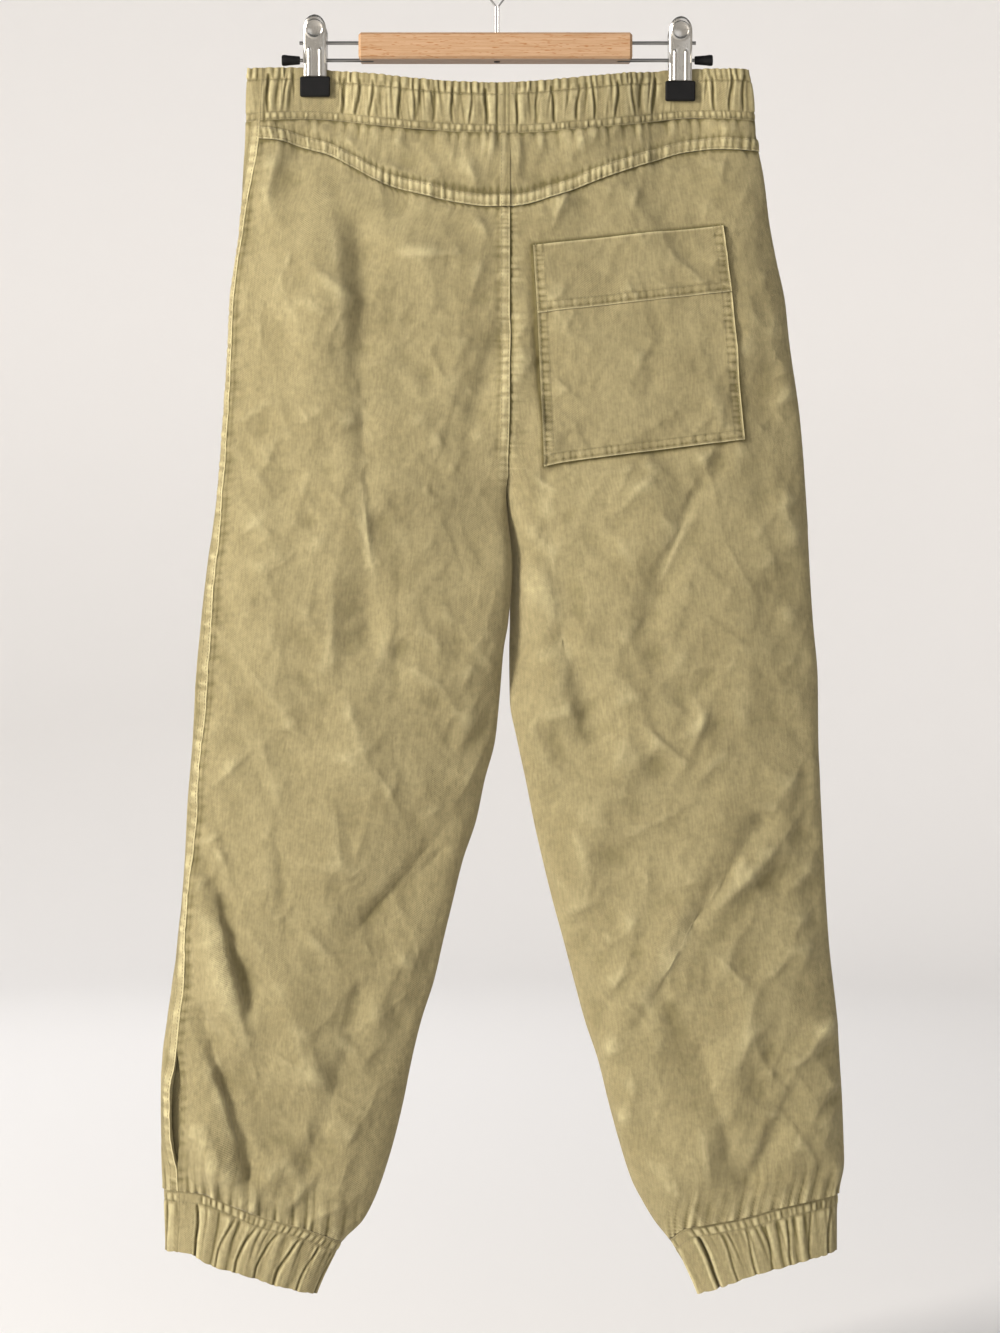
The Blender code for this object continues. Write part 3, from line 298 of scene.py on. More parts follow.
# Fine folds seen on the back: start x, start drop, end x, end drop, bow, steep width, gentle width,
# height (a trough is negative), place of the strongest point. The steep side is on the right of the
# run from end to start, so it turns away from the light.
creaseTable = [
    (-134, 180, -115, 395, 3.3, 12, 28, 4.5, 0.35), (-171, 151, -186, 235, 0, 9, 9, 4.5, 0.35),
    (-93, 195, -86, 241, 0, 5, 9, 2.4, 0), (-124, 166, -119, 207, 0, 7, 12, 2, 0.2),
    (-20, 257, -99, 259, 0, 2.5, 7, 1.3, 0.4), (-5, 254, -23, 321, -2.5, 6, 14, 3.4, 0.25),
    (-23, 320, -39, 377, 0, 6, 12, 1.6, 0.1), (-14, 220, 0, 253, 0, 4, 8, 1.8, 0.3),
    (-127, 372, -189, 413, 2.5, 4, 8, 1.6, 0.3), (-193, 408, -172, 436, 0, 3.5, 7, 1.2, 0.4),
    (-37, 219, -42, 238, 0, 3, 6, 1, 0), (-162, 248, -182, 313, 0, 5, 9, 1.2, 0.4),
    (-188, 289, -193, 371, 0, 4, 7, 1.4, 0.3), (-7, 394, -19, 413, 0, 3, 6, 1, 0.5),
    (-67, 375, -55, 397, 0, 3, 6, 0.7, 0.5), (-145, 421, -171, 499, 0, 4.5, 9, 1.8, 0.35),
    (-184, 469, -211, 487, 0, 3.5, 6, 2.2, 0.5), (-125, 467, -159, 522, 0, 8, 12, 2.4, 0.4),
    (-124, 485, -126, 617, -4.1, 8, 17, 3.6, 0.5), (-111, 428, -91, 558, 3.3, 7, 12, 3.6, 0.3),
    (-121, 608, -107, 654, 0, 5, 9, 2.2, 0.4), (-95, 653, -150, 679, 0, 4, 8, 1.8, 0.4),
    (-198, 658, -238, 699, 0, 5, 8, 2.6, 0.4), (-191, 648, -171, 708, 0, 4, 8, 2, 0.2),
    (-83, 502, -86, 621, 0, 6, 6, -2.4, 0.6), (-76, 670, -86, 699, 0, 4, 6, 1.2, 0.5),
    (-145, 518, -156, 567, 0, 4, 7, 1.2, 0.5), (-186, 502, -205, 567, 0, 5, 8, 1.2, 0.5),
    (-170, 567, -186, 633, 0, 5, 8, 1, 0.5), (-55, 510, -60, 600, 0, 7, 14, 0.8, 0.5),
    (-4, 617, -36, 669, 0, 5, 9, 2.6, 0.4), (2, 640, -37, 713, 0, 5, 8, 2.6, 0.35),
    (-16, 580, -29, 617, 0, 4, 7, 1.4, 0.5), (-1, 535, -11, 577, 0, 4, 7, 1, 0.4),
    (-29, 699, -121, 807, 0, 6, 12, -4.2, 0.75), (-34, 725, -83, 774, 0, 4, 7, -1.6, 0.3),
    (-42, 779, -66, 856, 0, 4, 8, 1.6, 0.4), (-54, 801, -73, 850, 0, 3.5, 6, 1.2, 0.5),
    (-229, 766, -196, 902, -3.3, 4, 12, 4.6, 0.45), (-212, 823, -206, 864, 0, 8, 8, -2.2, 0.5),
    (-184, 699, -174, 822, 0, 7, 11, -2.6, 0.4), (-129, 699, -121, 768, 0, 6, 16, 2.8, 0.5),
    (-99, 707, -119, 764, 0, 5, 8, 1.6, 0.5), (-224, 727, -239, 736, 0, 3, 5, 1.6, 0.5),
    (-217, 715, -193, 708, 0, 3, 5, -0.8, 0.5), (-81, 871, -102, 887, 0, 3, 6, 1, 0.4),
    (-83, 887, -114, 924, 0, 4, 7, 1.6, 0.4), (-162, 877, -153, 916, 0, 3.5, 6, 1, 0.4),
    (-193, 863, -184, 895, 0, 4, 7, 1, 0.4), (-144, 895, -147, 936, 0, 5, 9, 0.9, 0.5),
    (-137, 764, -119, 805, 0, 4, 9, 0.8, 0.4), (-245, 872, -198, 1027, 4.1, 13, 15, 8, 0.45),
    (-208, 910, -135, 1000, 0, 1.5, 3, 0.6, 0.5), (-234, 953, -226, 998, 0, 4, 7, 0.9, 0.5),
    (-102, 949, -125, 986, 0, 4, 8, 1.8, 0.5), (-112, 977, -130, 1023, 0, 5, 9, 2, 0.5),
    (-91, 924, -107, 961, 0, 4, 6, 1.5, 0.5), (-161, 986, -164, 1014, 0, 4, 6, 1, 0.5),
    (-187, 1010, -198, 1038, 0, 4, 6, 3.2, 0.7), (-144, 1002, -174, 1036, 1.6, 4.5, 7, 3.4, 0.6),
    (-121, 1028, -155, 1045, 0, 3.5, 6, 2.2, 0.5), (-226, 1004, -226, 1027, 0, 4, 4, -1.8, 0.8),
    (59, 205, 45, 243, 0, 5, 9, 3.6, 0.2), (39, 212, 43, 236, 0, 3.5, 6, 1.4, 0.2),
    (117, 198, 106, 238, 0, 4, 8, 1.8, 0.2), (94, 203, 86, 225, 0, 3.5, 6, 1.2, 0),
    (187, 180, 184, 207, 0, 4, 6, 1.6, 0), (158, 182, 162, 198, 0, 4, 6, 0.9, 0),
    (25, 241, 35, 390, -1.6, 3, 4, -2.6, 0.5), (9, 248, 19, 313, 0, 4, 7, 0.8, 0.5),
    (25, 313, 12, 331, 0, 3, 4, 1.8, 0.5), (20, 326, 25, 344, 0, 3, 4, 1.4, 0.5),
    (27, 348, 7, 367, 0, 3, 5, 1.6, 0.5), (35, 367, 42, 403, 0, 4, 6, 1.8, 0.5),
    (224, 252, 217, 289, 0, 5, 8, 1.4, 0.5), (240, 313, 224, 348, 0, 6, 8, 1.8, 0.5),
    (248, 367, 222, 379, 0, 5, 8, 1.6, 0.3), (236, 403, 228, 453, 0, 7, 9, 1.2, 0.5),
    (144, 425, 52, 441, 0, 3, 6, 1.4, 0.4), (140, 426, 83, 481, 0, 4, 8, 1.7, 0.3),
    (50, 428, 76, 610, -4.9, 12, 14, 5.2, 0.35), (35, 403, 45, 469, 0, 7, 8, 2.2, 0.4),
    (168, 451, 118, 554, 2.5, 5, 11, 3.8, 0.45), (118, 551, 94, 590, 0, 4, 8, 1.6, 0.1),
    (165, 507, 142, 582, 0, 6, 9, 1.7, 0.5), (171, 421, 137, 485, 0, 4, 8, 1.9, 0.4),
    (184, 403, 158, 453, 0, 5, 8, 1.6, 0.4), (125, 485, 107, 522, 0, 4, 7, 0.8, 0.5),
    (189, 587, 121, 608, 0, 4, 7, 1.2, 0.4), (197, 580, 183, 610, 0, 4, 7, 1.7, 0.4),
    (180, 607, 144, 692, 1.6, 5, 10, 3.2, 0.4), (150, 630, 108, 687, 0, 5, 9, 2.2, 0.45),
    (152, 625, 117, 635, 0, 3, 5, 0.9, 0.5), (61, 617, 70, 643, 0, 5, 6, 2.2, 0.3),
    (84, 640, 106, 648, 0, 3, 5, -1, 0.5), (86, 659, 66, 672, 0, 3, 5, 1.2, 0.5),
    (39, 621, 52, 633, 0, 4, 5, 1.2, 0.5), (48, 654, 37, 674, 0, 4, 5, 1, 0.5),
    (35, 608, 23, 618, 0, 3, 5, 0.8, 0.5), (173, 694, 86, 697, 0, 3, 6, 1.2, 0.4),
    (171, 696, 82, 740, 1.6, 4, 8, 2, 0.4), (253, 664, 224, 713, 0, 5, 9, 2.8, 0.4),
    (250, 638, 207, 617, 0, 3, 6, -0.8, 0.4), (248, 453, 222, 472, 0, 5, 8, 1.7, 0.2),
    (250, 490, 224, 495, 0, 4, 7, 1.3, 0.2), (245, 535, 232, 567, 0, 5, 8, 1.7, 0.4),
    (248, 580, 229, 604, 0, 4, 7, 1.8, 0.3), (240, 608, 219, 618, 0, 3, 6, 1, 0.3),
    (135, 502, 117, 512, 0, 3, 6, 0.6, 0.5), (40, 502, 48, 567, 0, 6, 9, 1.2, 0.5),
    (248, 717, 158, 810, 3.3, 7, 15, 4.8, 0.4), (253, 745, 207, 740, 0, 2.5, 5, 1, 0.4),
    (268, 749, 235, 779, 0, 6, 8, 3.2, 0.3), (266, 781, 230, 820, 0, 5, 8, 2.6, 0.4),
    (257, 812, 221, 846, 0, 5, 8, 2.2, 0.4), (127, 740, 124, 787, 0, 5, 8, 2, 0.6),
    (125, 781, 93, 820, 2.5, 5, 8, 2.2, 0.4), (86, 782, 50, 795, 0, 4, 7, 2.4, 0.7),
    (119, 830, 83, 863, 0, 5, 9, 2.8, 0.4), (91, 795, 95, 820, 0, 4, 5, 1.2, 0.5),
    (76, 834, 64, 842, 0, 3, 5, 1, 0.5), (168, 818, 124, 845, 0, 3, 6, 0.8, 0.5),
    (183, 761, 134, 771, 0, 2.5, 5, 0.9, 0.5), (201, 801, 178, 867, 0, 5, 9, 1.7, 0.4),
    (127, 842, 162, 961, -2.5, 9, 12, -3.4, 0.6), (213, 850, 203, 916, 0, 6, 12, 2.2, 0.5),
    (166, 781, 158, 830, 0, 5, 8, 1, 0.5), (281, 871, 251, 913, 0, 6, 10, 3.8, 0.4),
    (253, 910, 209, 927, 0, 3.5, 7, 1.8, 0.2), (248, 887, 216, 895, 0, 3, 6, 1, 0.4),
    (283, 930, 258, 946, 0, 5, 7, 3, 0.3), (209, 920, 193, 948, 0, 3, 6, 1.1, 0.4),
    (281, 949, 266, 991, 0, 7, 8, 2.4, 0.4), (211, 945, 189, 1000, 0, 4, 8, 1.8, 0.5),
    (165, 953, 180, 1025, 1.6, 5, 9, 2.4, 0.45), (247, 968, 265, 997, 0, 4, 7, 2, 0.4),
    (188, 1004, 209, 1014, 0, 3, 6, -1.2, 0.5), (107, 895, 89, 913, 0, 5, 6, 2.6, 0.5),
    (111, 912, 117, 951, 0, 4, 6, 1.8, 0.4), (117, 954, 94, 968, 0, 7, 9, 3, 0.5),
    (158, 1033, 116, 986, 3.3, 9, 12, 3.6, 0.4), (157, 1023, 176, 1050, 0, 3, 5, 2, 0.4),
    (140, 1002, 158, 1023, 0, 4, 7, -1.4, 0.5),
    (-130, 146, -101, 177, 0, 5, 8, 2.6, 0.4), (-101, 175, -45, 194, 0, 4, 6, 2.2, 0.35),
    (-144, 144, -127, 167, 0, 4, 7, 1.4, 0.2), (-24, 166, -14, 200, 0, 5, 8, 2.6, 0.6),
    (1, 148, -7, 197, 0, 5, 10, 2.8, 0.4), (-39, 162, -28, 182, 0, 4, 6, 1.2, 0.4),
    (-78, 157, -74, 175, 0, 4, 6, 1, 0.1), (-60, 159, -50, 178, 0, 4, 6, 0.9, 0.1),
    (-162, 141, -157, 162, 0, 4, 6, 1, 0.1), (22, 156, 18, 200, 0, 4, 9, 2.4, 0.4),
    (43, 156, 30, 184, 0, 4, 7, 1.5, 0.3), (80, 154, 58, 189, -1.6, 6, 9, 3.2, 0.45),
    (89, 148, 72, 174, 0, 4.5, 7, 2.4, 0.3), (109, 144, 84, 168, 0, 4.5, 8, 2, 0.3),
    (130, 139, 116, 156, 0, 4, 7, 1.4, 0.2), (57, 174, 40, 194, 0, 4, 6, 1.4, 0.4),
    (152, 134, 144, 149, 0, 4, 6, 1, 0.2), (176, 139, 173, 157, 0, 4, 6, 1.2, 0.3),
    (195, 145, 184, 161, 0, 4, 6, 1.6, 0.4),
]

# Broad soft ridges with a shaded flank on the viewer's right, with the columns of the table above.
broadFolds = [
    (-128, 188, -106, 330, 2, 25, 16, 5.2, 0.7), (-106, 330, -92, 520, 2, 24, 16, 5, 0.3),
    (-60, 215, -40, 300, 2, 16, 12, 2.2, 0.5), (-245, 738, -192, 912, -4, 11, 10, 4.2, 0.6),
    (-254, 903, -193, 1042, -5, 17, 10, 6, 0.6), (-120, 560, -80, 760, 4, 20, 14, 3.2, 0.5),
    (-172, 800, -128, 980, 4, 18, 12, 3, 0.5), (-190, 400, -168, 640, 4, 20, 14, 2.6, 0.5),
    (30, 440, 62, 640, 6, 14, 12, 4, 0.4), (120, 640, 66, 800, -4, 18, 12, 3.4, 0.5),
    (190, 740, 118, 920, -4, 20, 12, 4.2, 0.5), (226, 860, 170, 1030, -4, 16, 11, 4.4, 0.6),
    (140, 420, 104, 560, -3, 18, 12, 3, 0.5), (222, 470, 206, 680, -2, 18, 12, 3, 0.5),
    (70, 205, 60, 245, 1, 9, 8, 1.2, 0.4), (205, 210, 214, 430, 1, 14, 12, 3, 0.5),
    (-10, 256, -97, 254, 2, 4, 6, 1.3, 0.5),
]
wrinkles = {"count": 560, "length": (18, 85), "width": (1.5, 4.4), "height": (0.3, 1.25), "seed": 7}
# Crumpled facets of the washed cloth: cell size, height, lean of the longer side, stretch.
crumple = [(88.0, 4.0, 0.45, 1.9), (47.0, 2.8, -0.5, 1.7), (24.0, 1.8, 0.6, 1.6), (12.0, 0.75, -0.3, 1.4),
           (5.5, 0.22, 0.2, 1.2)]
crumpleSeed = 31


def latticeNoise(x, y, cell, seed):
    # Smooth random heights between the points of a square lattice.
    rng = np.random.default_rng(seed)
    lattice = rng.uniform(-1, 1, (160, 160))
    u, v = x / cell + 60.5, y / cell + 7.3
    i, j = np.floor(u).astype(int), np.floor(v).astype(int)
    a, b = u - i, v - j
    a, b = a * a * (3 - 2 * a), b * b * (3 - 2 * b)
    i, j = i % 159, j % 159
    top = lattice[i, j] * (1 - a) + lattice[i + 1, j] * a
    low = lattice[i, j + 1] * (1 - a) + lattice[i + 1, j + 1] * a
    return top * (1 - b) + low * b


def creaseHeight(x, drop, rows, sharpness=1.3):
    # Sum of the lopsided ridges of a table, each strongest at its own point and fading to its ends.
    total = np.zeros(x.shape)
    for x1, d1, x2, d2, bow, steep, gentle, height, peak in rows:
        run = math.hypot(x2 - x1, d2 - d1)
        ux, ud = (x2 - x1) / run, (d2 - d1) / run
        gentle *= 2.1
        reach = 2.6 * max(steep, gentle) + abs(bow)
        near = (x > min(x1, x2) - reach) & (x < max(x1, x2) + reach)
        near &= (drop > min(d1, d2) - reach) & (drop < max(d1, d2) + reach)
        if not near.any():
            continue
        px, pd = x[near] - x1, drop[near] - d1
        along = (px * ux + pd * ud) / run
        t = np.clip(along, 0, 1)
        beyond = (along - t) * run
        off = px * ud - pd * ux - bow * 4 * t * (1 - t) + math.copysign(0.6 * steep, height)
        width = np.where((off > 0) == (height > 0), steep, gentle)
        rise = np.clip(t / peak, 0, 1) if peak > 0 else np.ones(t.shape)
        fade = np.clip((1 - t) / (1 - peak), 0, 1) if peak < 1 else np.ones(t.shape)
        taper = (np.minimum(rise, fade) * 0.96 + 0.04) ** 0.8 * np.exp(-((beyond / steep) ** 2))
        total[near] += 1.35 * height * taper * np.exp(-np.abs(off / width) ** sharpness)
    return total


def wrinkleRows(seed):
    # Small washed-in creases, most of them leaning, spread over the whole length.
    rng = np.random.default_rng(seed)
    rows = []
    for _ in range(wrinkles["count"]):
        x, drop = rng.uniform(-285, 285), rng.uniform(165, 1075)
        lean = rng.choice([-1, 1], p=[0.66, 0.34]) * rng.uniform(0.25, 1.1)
        length = rng.uniform(*wrinkles["length"])
        width, height = rng.uniform(*wrinkles["width"]), rng.uniform(*wrinkles["height"])
        dx, dd = math.sin(lean) * length / 2, math.cos(lean) * length / 2
        bow = rng.uniform(-0.1, 0.1) * length
        rows.append((x - dx, drop - dd, x + dx, drop + dd, bow, width, width * 1.8, height, 0.5))
    return rows


backWrinkles, frontWrinkles = wrinkleRows(wrinkles["seed"]), wrinkleRows(wrinkles["seed"] + 1)
frontCreases = [(-x1 * 0.97, d1 + 9, -x2 * 0.97, d2 + 9, -bow, steep, gentle, height * 0.7, peak)
                for x1, d1, x2, d2, bow, steep, gentle, height, peak in creaseTable[::2]]


def clothHeight(x, drop, s):
    # Height of the folds above the smooth garment, along its outward direction.
    shape = np.broadcast(x, drop, s).shape
    x, drop, s = (np.broadcast_to(a, shape) for a in (x, drop, s))
    back = creaseHeight(x, drop, creaseTable) + creaseHeight(x, drop, backWrinkles)
    back += 1.3 * creaseHeight(x, drop, broadFolds, 1.9)
    front = creaseHeight(x, drop, frontCreases) + creaseHeight(x, drop, frontWrinkles)
    height = np.where(s < 0, back, front)
    for cell, size, lean, stretch in crumple:
        shift = np.where(s < 0, 0.0, 4000.0)
        along = (x * math.sin(lean) + drop * math.cos(lean)) / stretch + shift
        over = x * math.cos(lean) - drop * math.sin(lean)
        bend = 0.35 * cell * latticeNoise(x + shift, drop, cell * 1.7, crumpleSeed + 5)
        rough = latticeNoise(over + bend, along, cell, crumpleSeed)
        fine = latticeNoise(over * 0.6 - along, along * 0.8 + over * 0.5 + bend, cell * 1.2, crumpleSeed + 3)
        height = height + size * (0.5 - np.abs(rough) - 0.5 * np.abs(fine))
    return height


def edgeFade(side, drop, s):
    # Folds die out where the cloth turns round the outer and inner edges.
    w = legShare(drop)
    hip, leg = hipAngle(np.abs(s)), legAngle(np.abs(s))
    bulge = (1 - w) * np.sin(hip) + w * np.sin(leg)
    return np.clip(bulge * 3.2 - 0.12, 0, 1)


def gathers(walk, pitch, seed, uneven=0.45, sharp=0.7):
    # Rounded crests between sharp valleys, of uneven width and height.
    rng = np.random.default_rng(seed)
    count = int((walk.max() - walk.min()) / pitch * 1.6) + 40
    edges = walk.min() - 5 * pitch + np.cumsum(pitch * rng.uniform(1 - uneven, 1 + uneven, count))
    high = rng.uniform(0.35, 1.0, count)
    i = np.clip(np.searchsorted(edges, walk), 1, count - 1)
    part = np.clip((walk - edges[i - 1]) / (edges[i] - edges[i - 1]), 0, 1)
    return high[i] * np.sin(math.pi * part) ** sharp


def softBand(distance, width, edge=1.2):
    # 1 on a folded seam allowance, falling to 0 past its stitched edge.
    return np.clip((width - distance) / edge + 0.5, 0, 1)


def normalise(v):
    return v / np.linalg.norm(v, axis=-1, keepdims=True)


def alongRows(grid):
    steps = np.linalg.norm(np.diff(grid, axis=1), axis=-1)
    return np.concatenate([np.zeros((grid.shape[0], 1)), np.cumsum(steps, axis=1)], axis=1)


def alongColumns(grid):
    steps = np.linalg.norm(np.diff(grid, axis=0), axis=-1)
    return np.concatenate([np.zeros((1, grid.shape[1])), np.cumsum(steps, axis=0)], axis=0)


def blurred(grid, reach):
    # Mean over a square of neighbours, used to tell crests from hollows.
    padded = np.pad(grid, reach, mode="edge")
    sums = np.pad(padded.cumsum(0).cumsum(1), ((1, 0), (1, 0)))
    size = 2 * reach + 1
    total = sums[size:, size:] - sums[:-size, size:] - sums[size:, :-size] + sums[:-size, :-size]
    return total / size ** 2


def crestShare(height, spacing, reach, depth):
    # Above 0 on a crest and below 0 in a hollow, against the mean of the cloth around it.
    near = height - blurred(height, max(2, int(round(reach / spacing))))
    return near / depth


pieceGrids = {}
foldAngle = 68
# How the wear and the painted shade of the cloth follow its form: reach of the mean around a place, height of a
# full crest.
crestReach = {"broad": (16.0, 9.5), "fine": (5.0, 1.6)}


def quadsOf(index):
    # The four corners of every cell of a grid of vertex numbers.
    cells = np.stack([index[:-1, :-1], index[1:, :-1], index[1:, 1:], index[:-1, 1:]], axis=-1)
    return cells.reshape(-1, 4)


def showMesh(name, mesh, finish):
    obj = bpy.data.objects.new(name, mesh)
    bpy.context.scene.collection.objects.link(obj)
    if finish:
        mesh.materials.append(finishes[finish])
    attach(obj, "root")
    return obj


def smoothUnder(mesh, degrees):
    mesh.polygons.foreach_set("use_smooth", np.ones(len(mesh.polygons), dtype=bool))
    mesh.set_sharp_from_angle(angle=math.radians(degrees))


def lowestNear(height, reach):
    # The lowest height among a few rows and columns around each place.
    low = height.copy()
    for step in range(1, reach + 1):
        low[step:] = np.minimum(low[step:], height[:-step])
        low[:-step] = np.minimum(low[:-step], height[step:])
    side = low.copy()
    low[:, 1:] = np.minimum(low[:, 1:], side[:, :-1])
    low[:, :-1] = np.minimum(low[:, :-1], side[:, 1:])
    return low


def clothPiece(name, place, facing, height, wall, spacing, step=5, sewn=None, wearAndPaintedShade=0.0):
    # A closed cloth wall: a fine creased outside, a plainer inside with every few rows, and the rim.
    rows, columns = place.shape[:2]
    outer = place + facing * height[:, :, None]
    picked = np.unique(np.concatenate([np.arange(0, rows - 1, step), [rows - 1]]))
    low = lowestNear(height, step)
    low[0], low[-1] = height[0], height[-1]
    inner = (place + facing * (low - wall)[:, :, None])[picked]
    size, last = rows * columns, columns - 1
    index = np.arange(size).reshape(rows, columns)
    inside = size + np.arange(len(picked) * columns).reshape(len(picked), columns)
    rimTop = np.stack([index[0, :-1], index[0, 1:], inside[0, 1:], inside[0, :-1]], axis=-1)
    rimLow = np.stack([index[-1, 1:], index[-1, :-1], inside[-1, :-1], inside[-1, 1:]], axis=-1)
    quads = np.concatenate([quadsOf(index), quadsOf(inside)[:, [0, 3, 2, 1]], rimTop, rimLow])
    faces = [list(face) for face in quads.tolist()]
    for k in range(len(picked) - 1):
        between = list(range(picked[k], picked[k + 1] + 1))
        faces.append([index[j, last] for j in between] + [inside[k + 1, last], inside[k, last]])
        faces.append([index[j, 0] for j in reversed(between)] + [inside[k, 0], inside[k + 1, 0]])
    across, down = outer[0, 1] - outer[0, 0], outer[1, 0] - outer[0, 0]
    if np.cross(across, down) @ facing[0, 0] > 0:
        faces = [face[::-1] for face in faces]
    counts = np.array([len(face) for face in faces])
    corners = np.fromiter((int(k) for face in faces for k in face), dtype=np.int32, count=counts.sum())
    mesh = bpy.data.meshes.new(name)
    spots = np.concatenate([outer.reshape(-1, 3), inner.reshape(-1, 3)]) * mm
    mesh.vertices.add(len(spots))
    mesh.vertices.foreach_set("co", spots.ravel())
    mesh.loops.add(len(corners))
    mesh.loops.foreach_set("vertex_index", corners)
    mesh.polygons.add(len(faces))
    mesh.polygons.foreach_set("loop_start", np.concatenate([[0], np.cumsum(counts)[:-1]]).astype(np.int32))
    mesh.update(calc_edges=True)
    mesh.polygons.foreach_set("use_smooth", np.ones(len(faces), dtype=bool))
    flat = np.stack([alongRows(place), -outer[:, :, 2]], axis=-1) * mm
    flat = np.concatenate([flat.reshape(-1, 2), flat[picked].reshape(-1, 2)])
    layer = mesh.uv_layers.new(name="cloth")
    layer.data.foreach_set("uv", flat[corners].ravel())
    # Colour share: pale wear on crests, painted shade in hollows and grooves, plus the edge lines (wear and
    # painted shade).
    share = 0.5 + crestShare(height, spacing, *crestReach["broad"])
    share += crestShare(height if sewn is None else sewn, spacing, *crestReach["fine"]) + wearAndPaintedShade
    share = np.clip(share, 0, 1)
    share = np.concatenate([share.ravel(), share[picked].ravel()]).astype(np.float32)
    mesh.attributes.new("crest", "FLOAT", "POINT").data.foreach_set("value", share)
    mesh.validate()
    mesh.set_sharp_from_angle(angle=math.radians(foldAngle))
    pieceGrids[name] = (place, outer)
    return showMesh(name, mesh, "twill")


def linear(hexColour):
    parts = [int(hexColour[i:i + 2], 16) / 255 for i in (1, 3, 5)]
    return (*[p / 12.92 if p <= 0.04045 else ((p + 0.055) / 1.055) ** 2.4 for p in parts], 1.0)


def addNode(tree, kind, settings=None, links=None):
    # settings: a property or input socket and its value; links: an input socket and what feeds it.
    node = tree.nodes.new(kind)
    for key, value in (settings or {}).items():
        if isinstance(key, int):
            node.inputs[key].default_value = value
        elif hasattr(node, key) and key not in node.inputs:
            setattr(node, key, value)
        else:
            node.inputs[key].default_value = value
    for key, source in (links or {}).items():
        tree.links.new(source, node.inputs[key])
    return node


def newFinish(name, settings):
    made = bpy.data.materials.new(name)
    made.use_nodes = True
    tree = made.node_tree
    tree.nodes.clear()
    shader = addNode(tree, "ShaderNodeBsdfPrincipled", settings)
    addNode(tree, "ShaderNodeOutputMaterial", links={"Surface": shader.outputs[0]})
    return made, tree, shader


def colourMix(tree, factor, first, second):
    made = addNode(tree, "ShaderNodeMix", {"data_type": "RGBA"})
    for socket, value in ((6, first), (7, second)):
        if isinstance(value, tuple):
            made.inputs[socket].default_value = value
        else:
            tree.links.new(value, made.inputs[socket])
    tree.links.new(factor, made.inputs[0])
    return made.outputs[2]


def spread(tree, value, low, high, outLow=0.0, outHigh=1.0):
    made = addNode(tree, "ShaderNodeMapRange", {"From Min": low, "From Max": high, "To Min": outLow,
                                                "To Max": outHigh}, {"Value": value})
    return made.outputs[0]


def objectPlace(tree):
    return addNode(tree, "ShaderNodeTexCoord").outputs["Object"]


def mapped(tree, where, **settings):
    return addNode(tree, "ShaderNodeMapping", settings, {"Vector": where}).outputs[0]


def noise(tree, where, size, detail, roughness=0.5):
    # Random spots of the given size in millimetres.
    settings = {"Scale": 1 / (size * mm), "Detail": detail, "Roughness": roughness}
    return addNode(tree, "ShaderNodeTexNoise", settings, {"Vector": where}).outputs[0]


def bumped(tree, shader, height, strength, distance):
    settings = {"Strength": strength, "Distance": distance * mm}
    bump = addNode(tree, "ShaderNodeBump", settings, {"Height": height})
    tree.links.new(bump.outputs[0], shader.inputs["Normal"])


twill = {
    "cloth": "#8f8460", "worn": "#b0a57d", "hollowShade": "#645b39", "blotch": "#867b58",
    "ribPitch": 1.3, "ribsPerWave": 3.18, "ribLean": 58, "roughness": 0.88,
}


def garmentDyedTwill(name, colours):
    # Cotton twill, woven and dyed after sewing: matt, soft, pale on rubbed crests (wear), darker in hollows
    # (painted shade, partly dye).
    made, tree, shader = newFinish(name, {"Roughness": colours["roughness"], "Sheen Weight": 0.12,
                                          "Sheen Roughness": 0.5, "Specular IOR Level": 0.25})
    place = objectPlace(tree)
    flat = addNode(tree, "ShaderNodeUVMap", {"uv_map": "cloth"}).outputs[0]
    crest = addNode(tree, "ShaderNodeAttribute", {"attribute_name": "crest"}).outputs["Fac"]
    mottle = noise(tree, place, 38, 4.0, 0.6)
    fine = noise(tree, place, 4.5, 3.0, 0.65)
    # The ribs of the twill are 0.6 mm apart; drawn at 1.3 mm, the finest that the picture can hold.
    lean = mapped(tree, flat, Rotation=(0.0, 0.0, math.radians(colours["ribLean"])))
    ribs = addNode(tree, "ShaderNodeTexWave", {"Scale": 1 / (colours["ribPitch"] * mm * colours["ribsPerWave"]),
                                               "Distortion": 1.2, "Detail": 2.0, "Detail Scale": 2.5},
                   {"Vector": lean})
    threads = noise(tree, mapped(tree, flat, Scale=(1.0, 0.16, 1.0)), 1.6, 2.0)
    base = colourMix(tree, spread(tree, mottle, 0.36, 0.66), linear(colours["cloth"]),
                     linear(colours["blotch"]))
    worn = colourMix(tree, spread(tree, crest, 0.55, 0.95), base, linear(colours["worn"]))
    # Painted shade, partly dye: the hollow colour darkens the cloth in hollows, grooves and along the dark edge
    # lines.
    hollowsShaded = colourMix(tree, spread(tree, crest, 0.44, 0.08), worn, linear(colours["hollowShade"]))
    grey = addNode(tree, "ShaderNodeMath", {"operation": "ADD"}, {
        0: spread(tree, fine, 0.3, 0.7, -0.12, 0.12), 1: spread(tree, threads, 0.3, 0.7, 0.9, 1.1)})
    toned = addNode(tree, "ShaderNodeHueSaturation", {}, {"Color": hollowsShaded, "Value": grey.outputs[0]})
    tree.links.new(toned.outputs[0], shader.inputs["Base Color"])
    weave = addNode(tree, "ShaderNodeMath", {"operation": "MULTIPLY_ADD", 1: 0.25},
                    {0: ribs.outputs["Fac"], 2: fine})
    bumped(tree, shader, weave.outputs[0], 0.9, 0.9)
    return made


def spunThread(name, colour):
    # Spun sewing thread: fuzzy, a little shinier than the cloth.
    made, tree, shader = newFinish(name, {"Roughness": 0.7, "Sheen Weight": 0.1})
    fuzz = noise(tree, objectPlace(tree), 6, 2.0)
    dark = tuple(part * 0.72 for part in linear(colour)[:3]) + (1.0,)
    tree.links.new(colourMix(tree, fuzz, linear(colour), dark), shader.inputs["Base Color"])
    return made


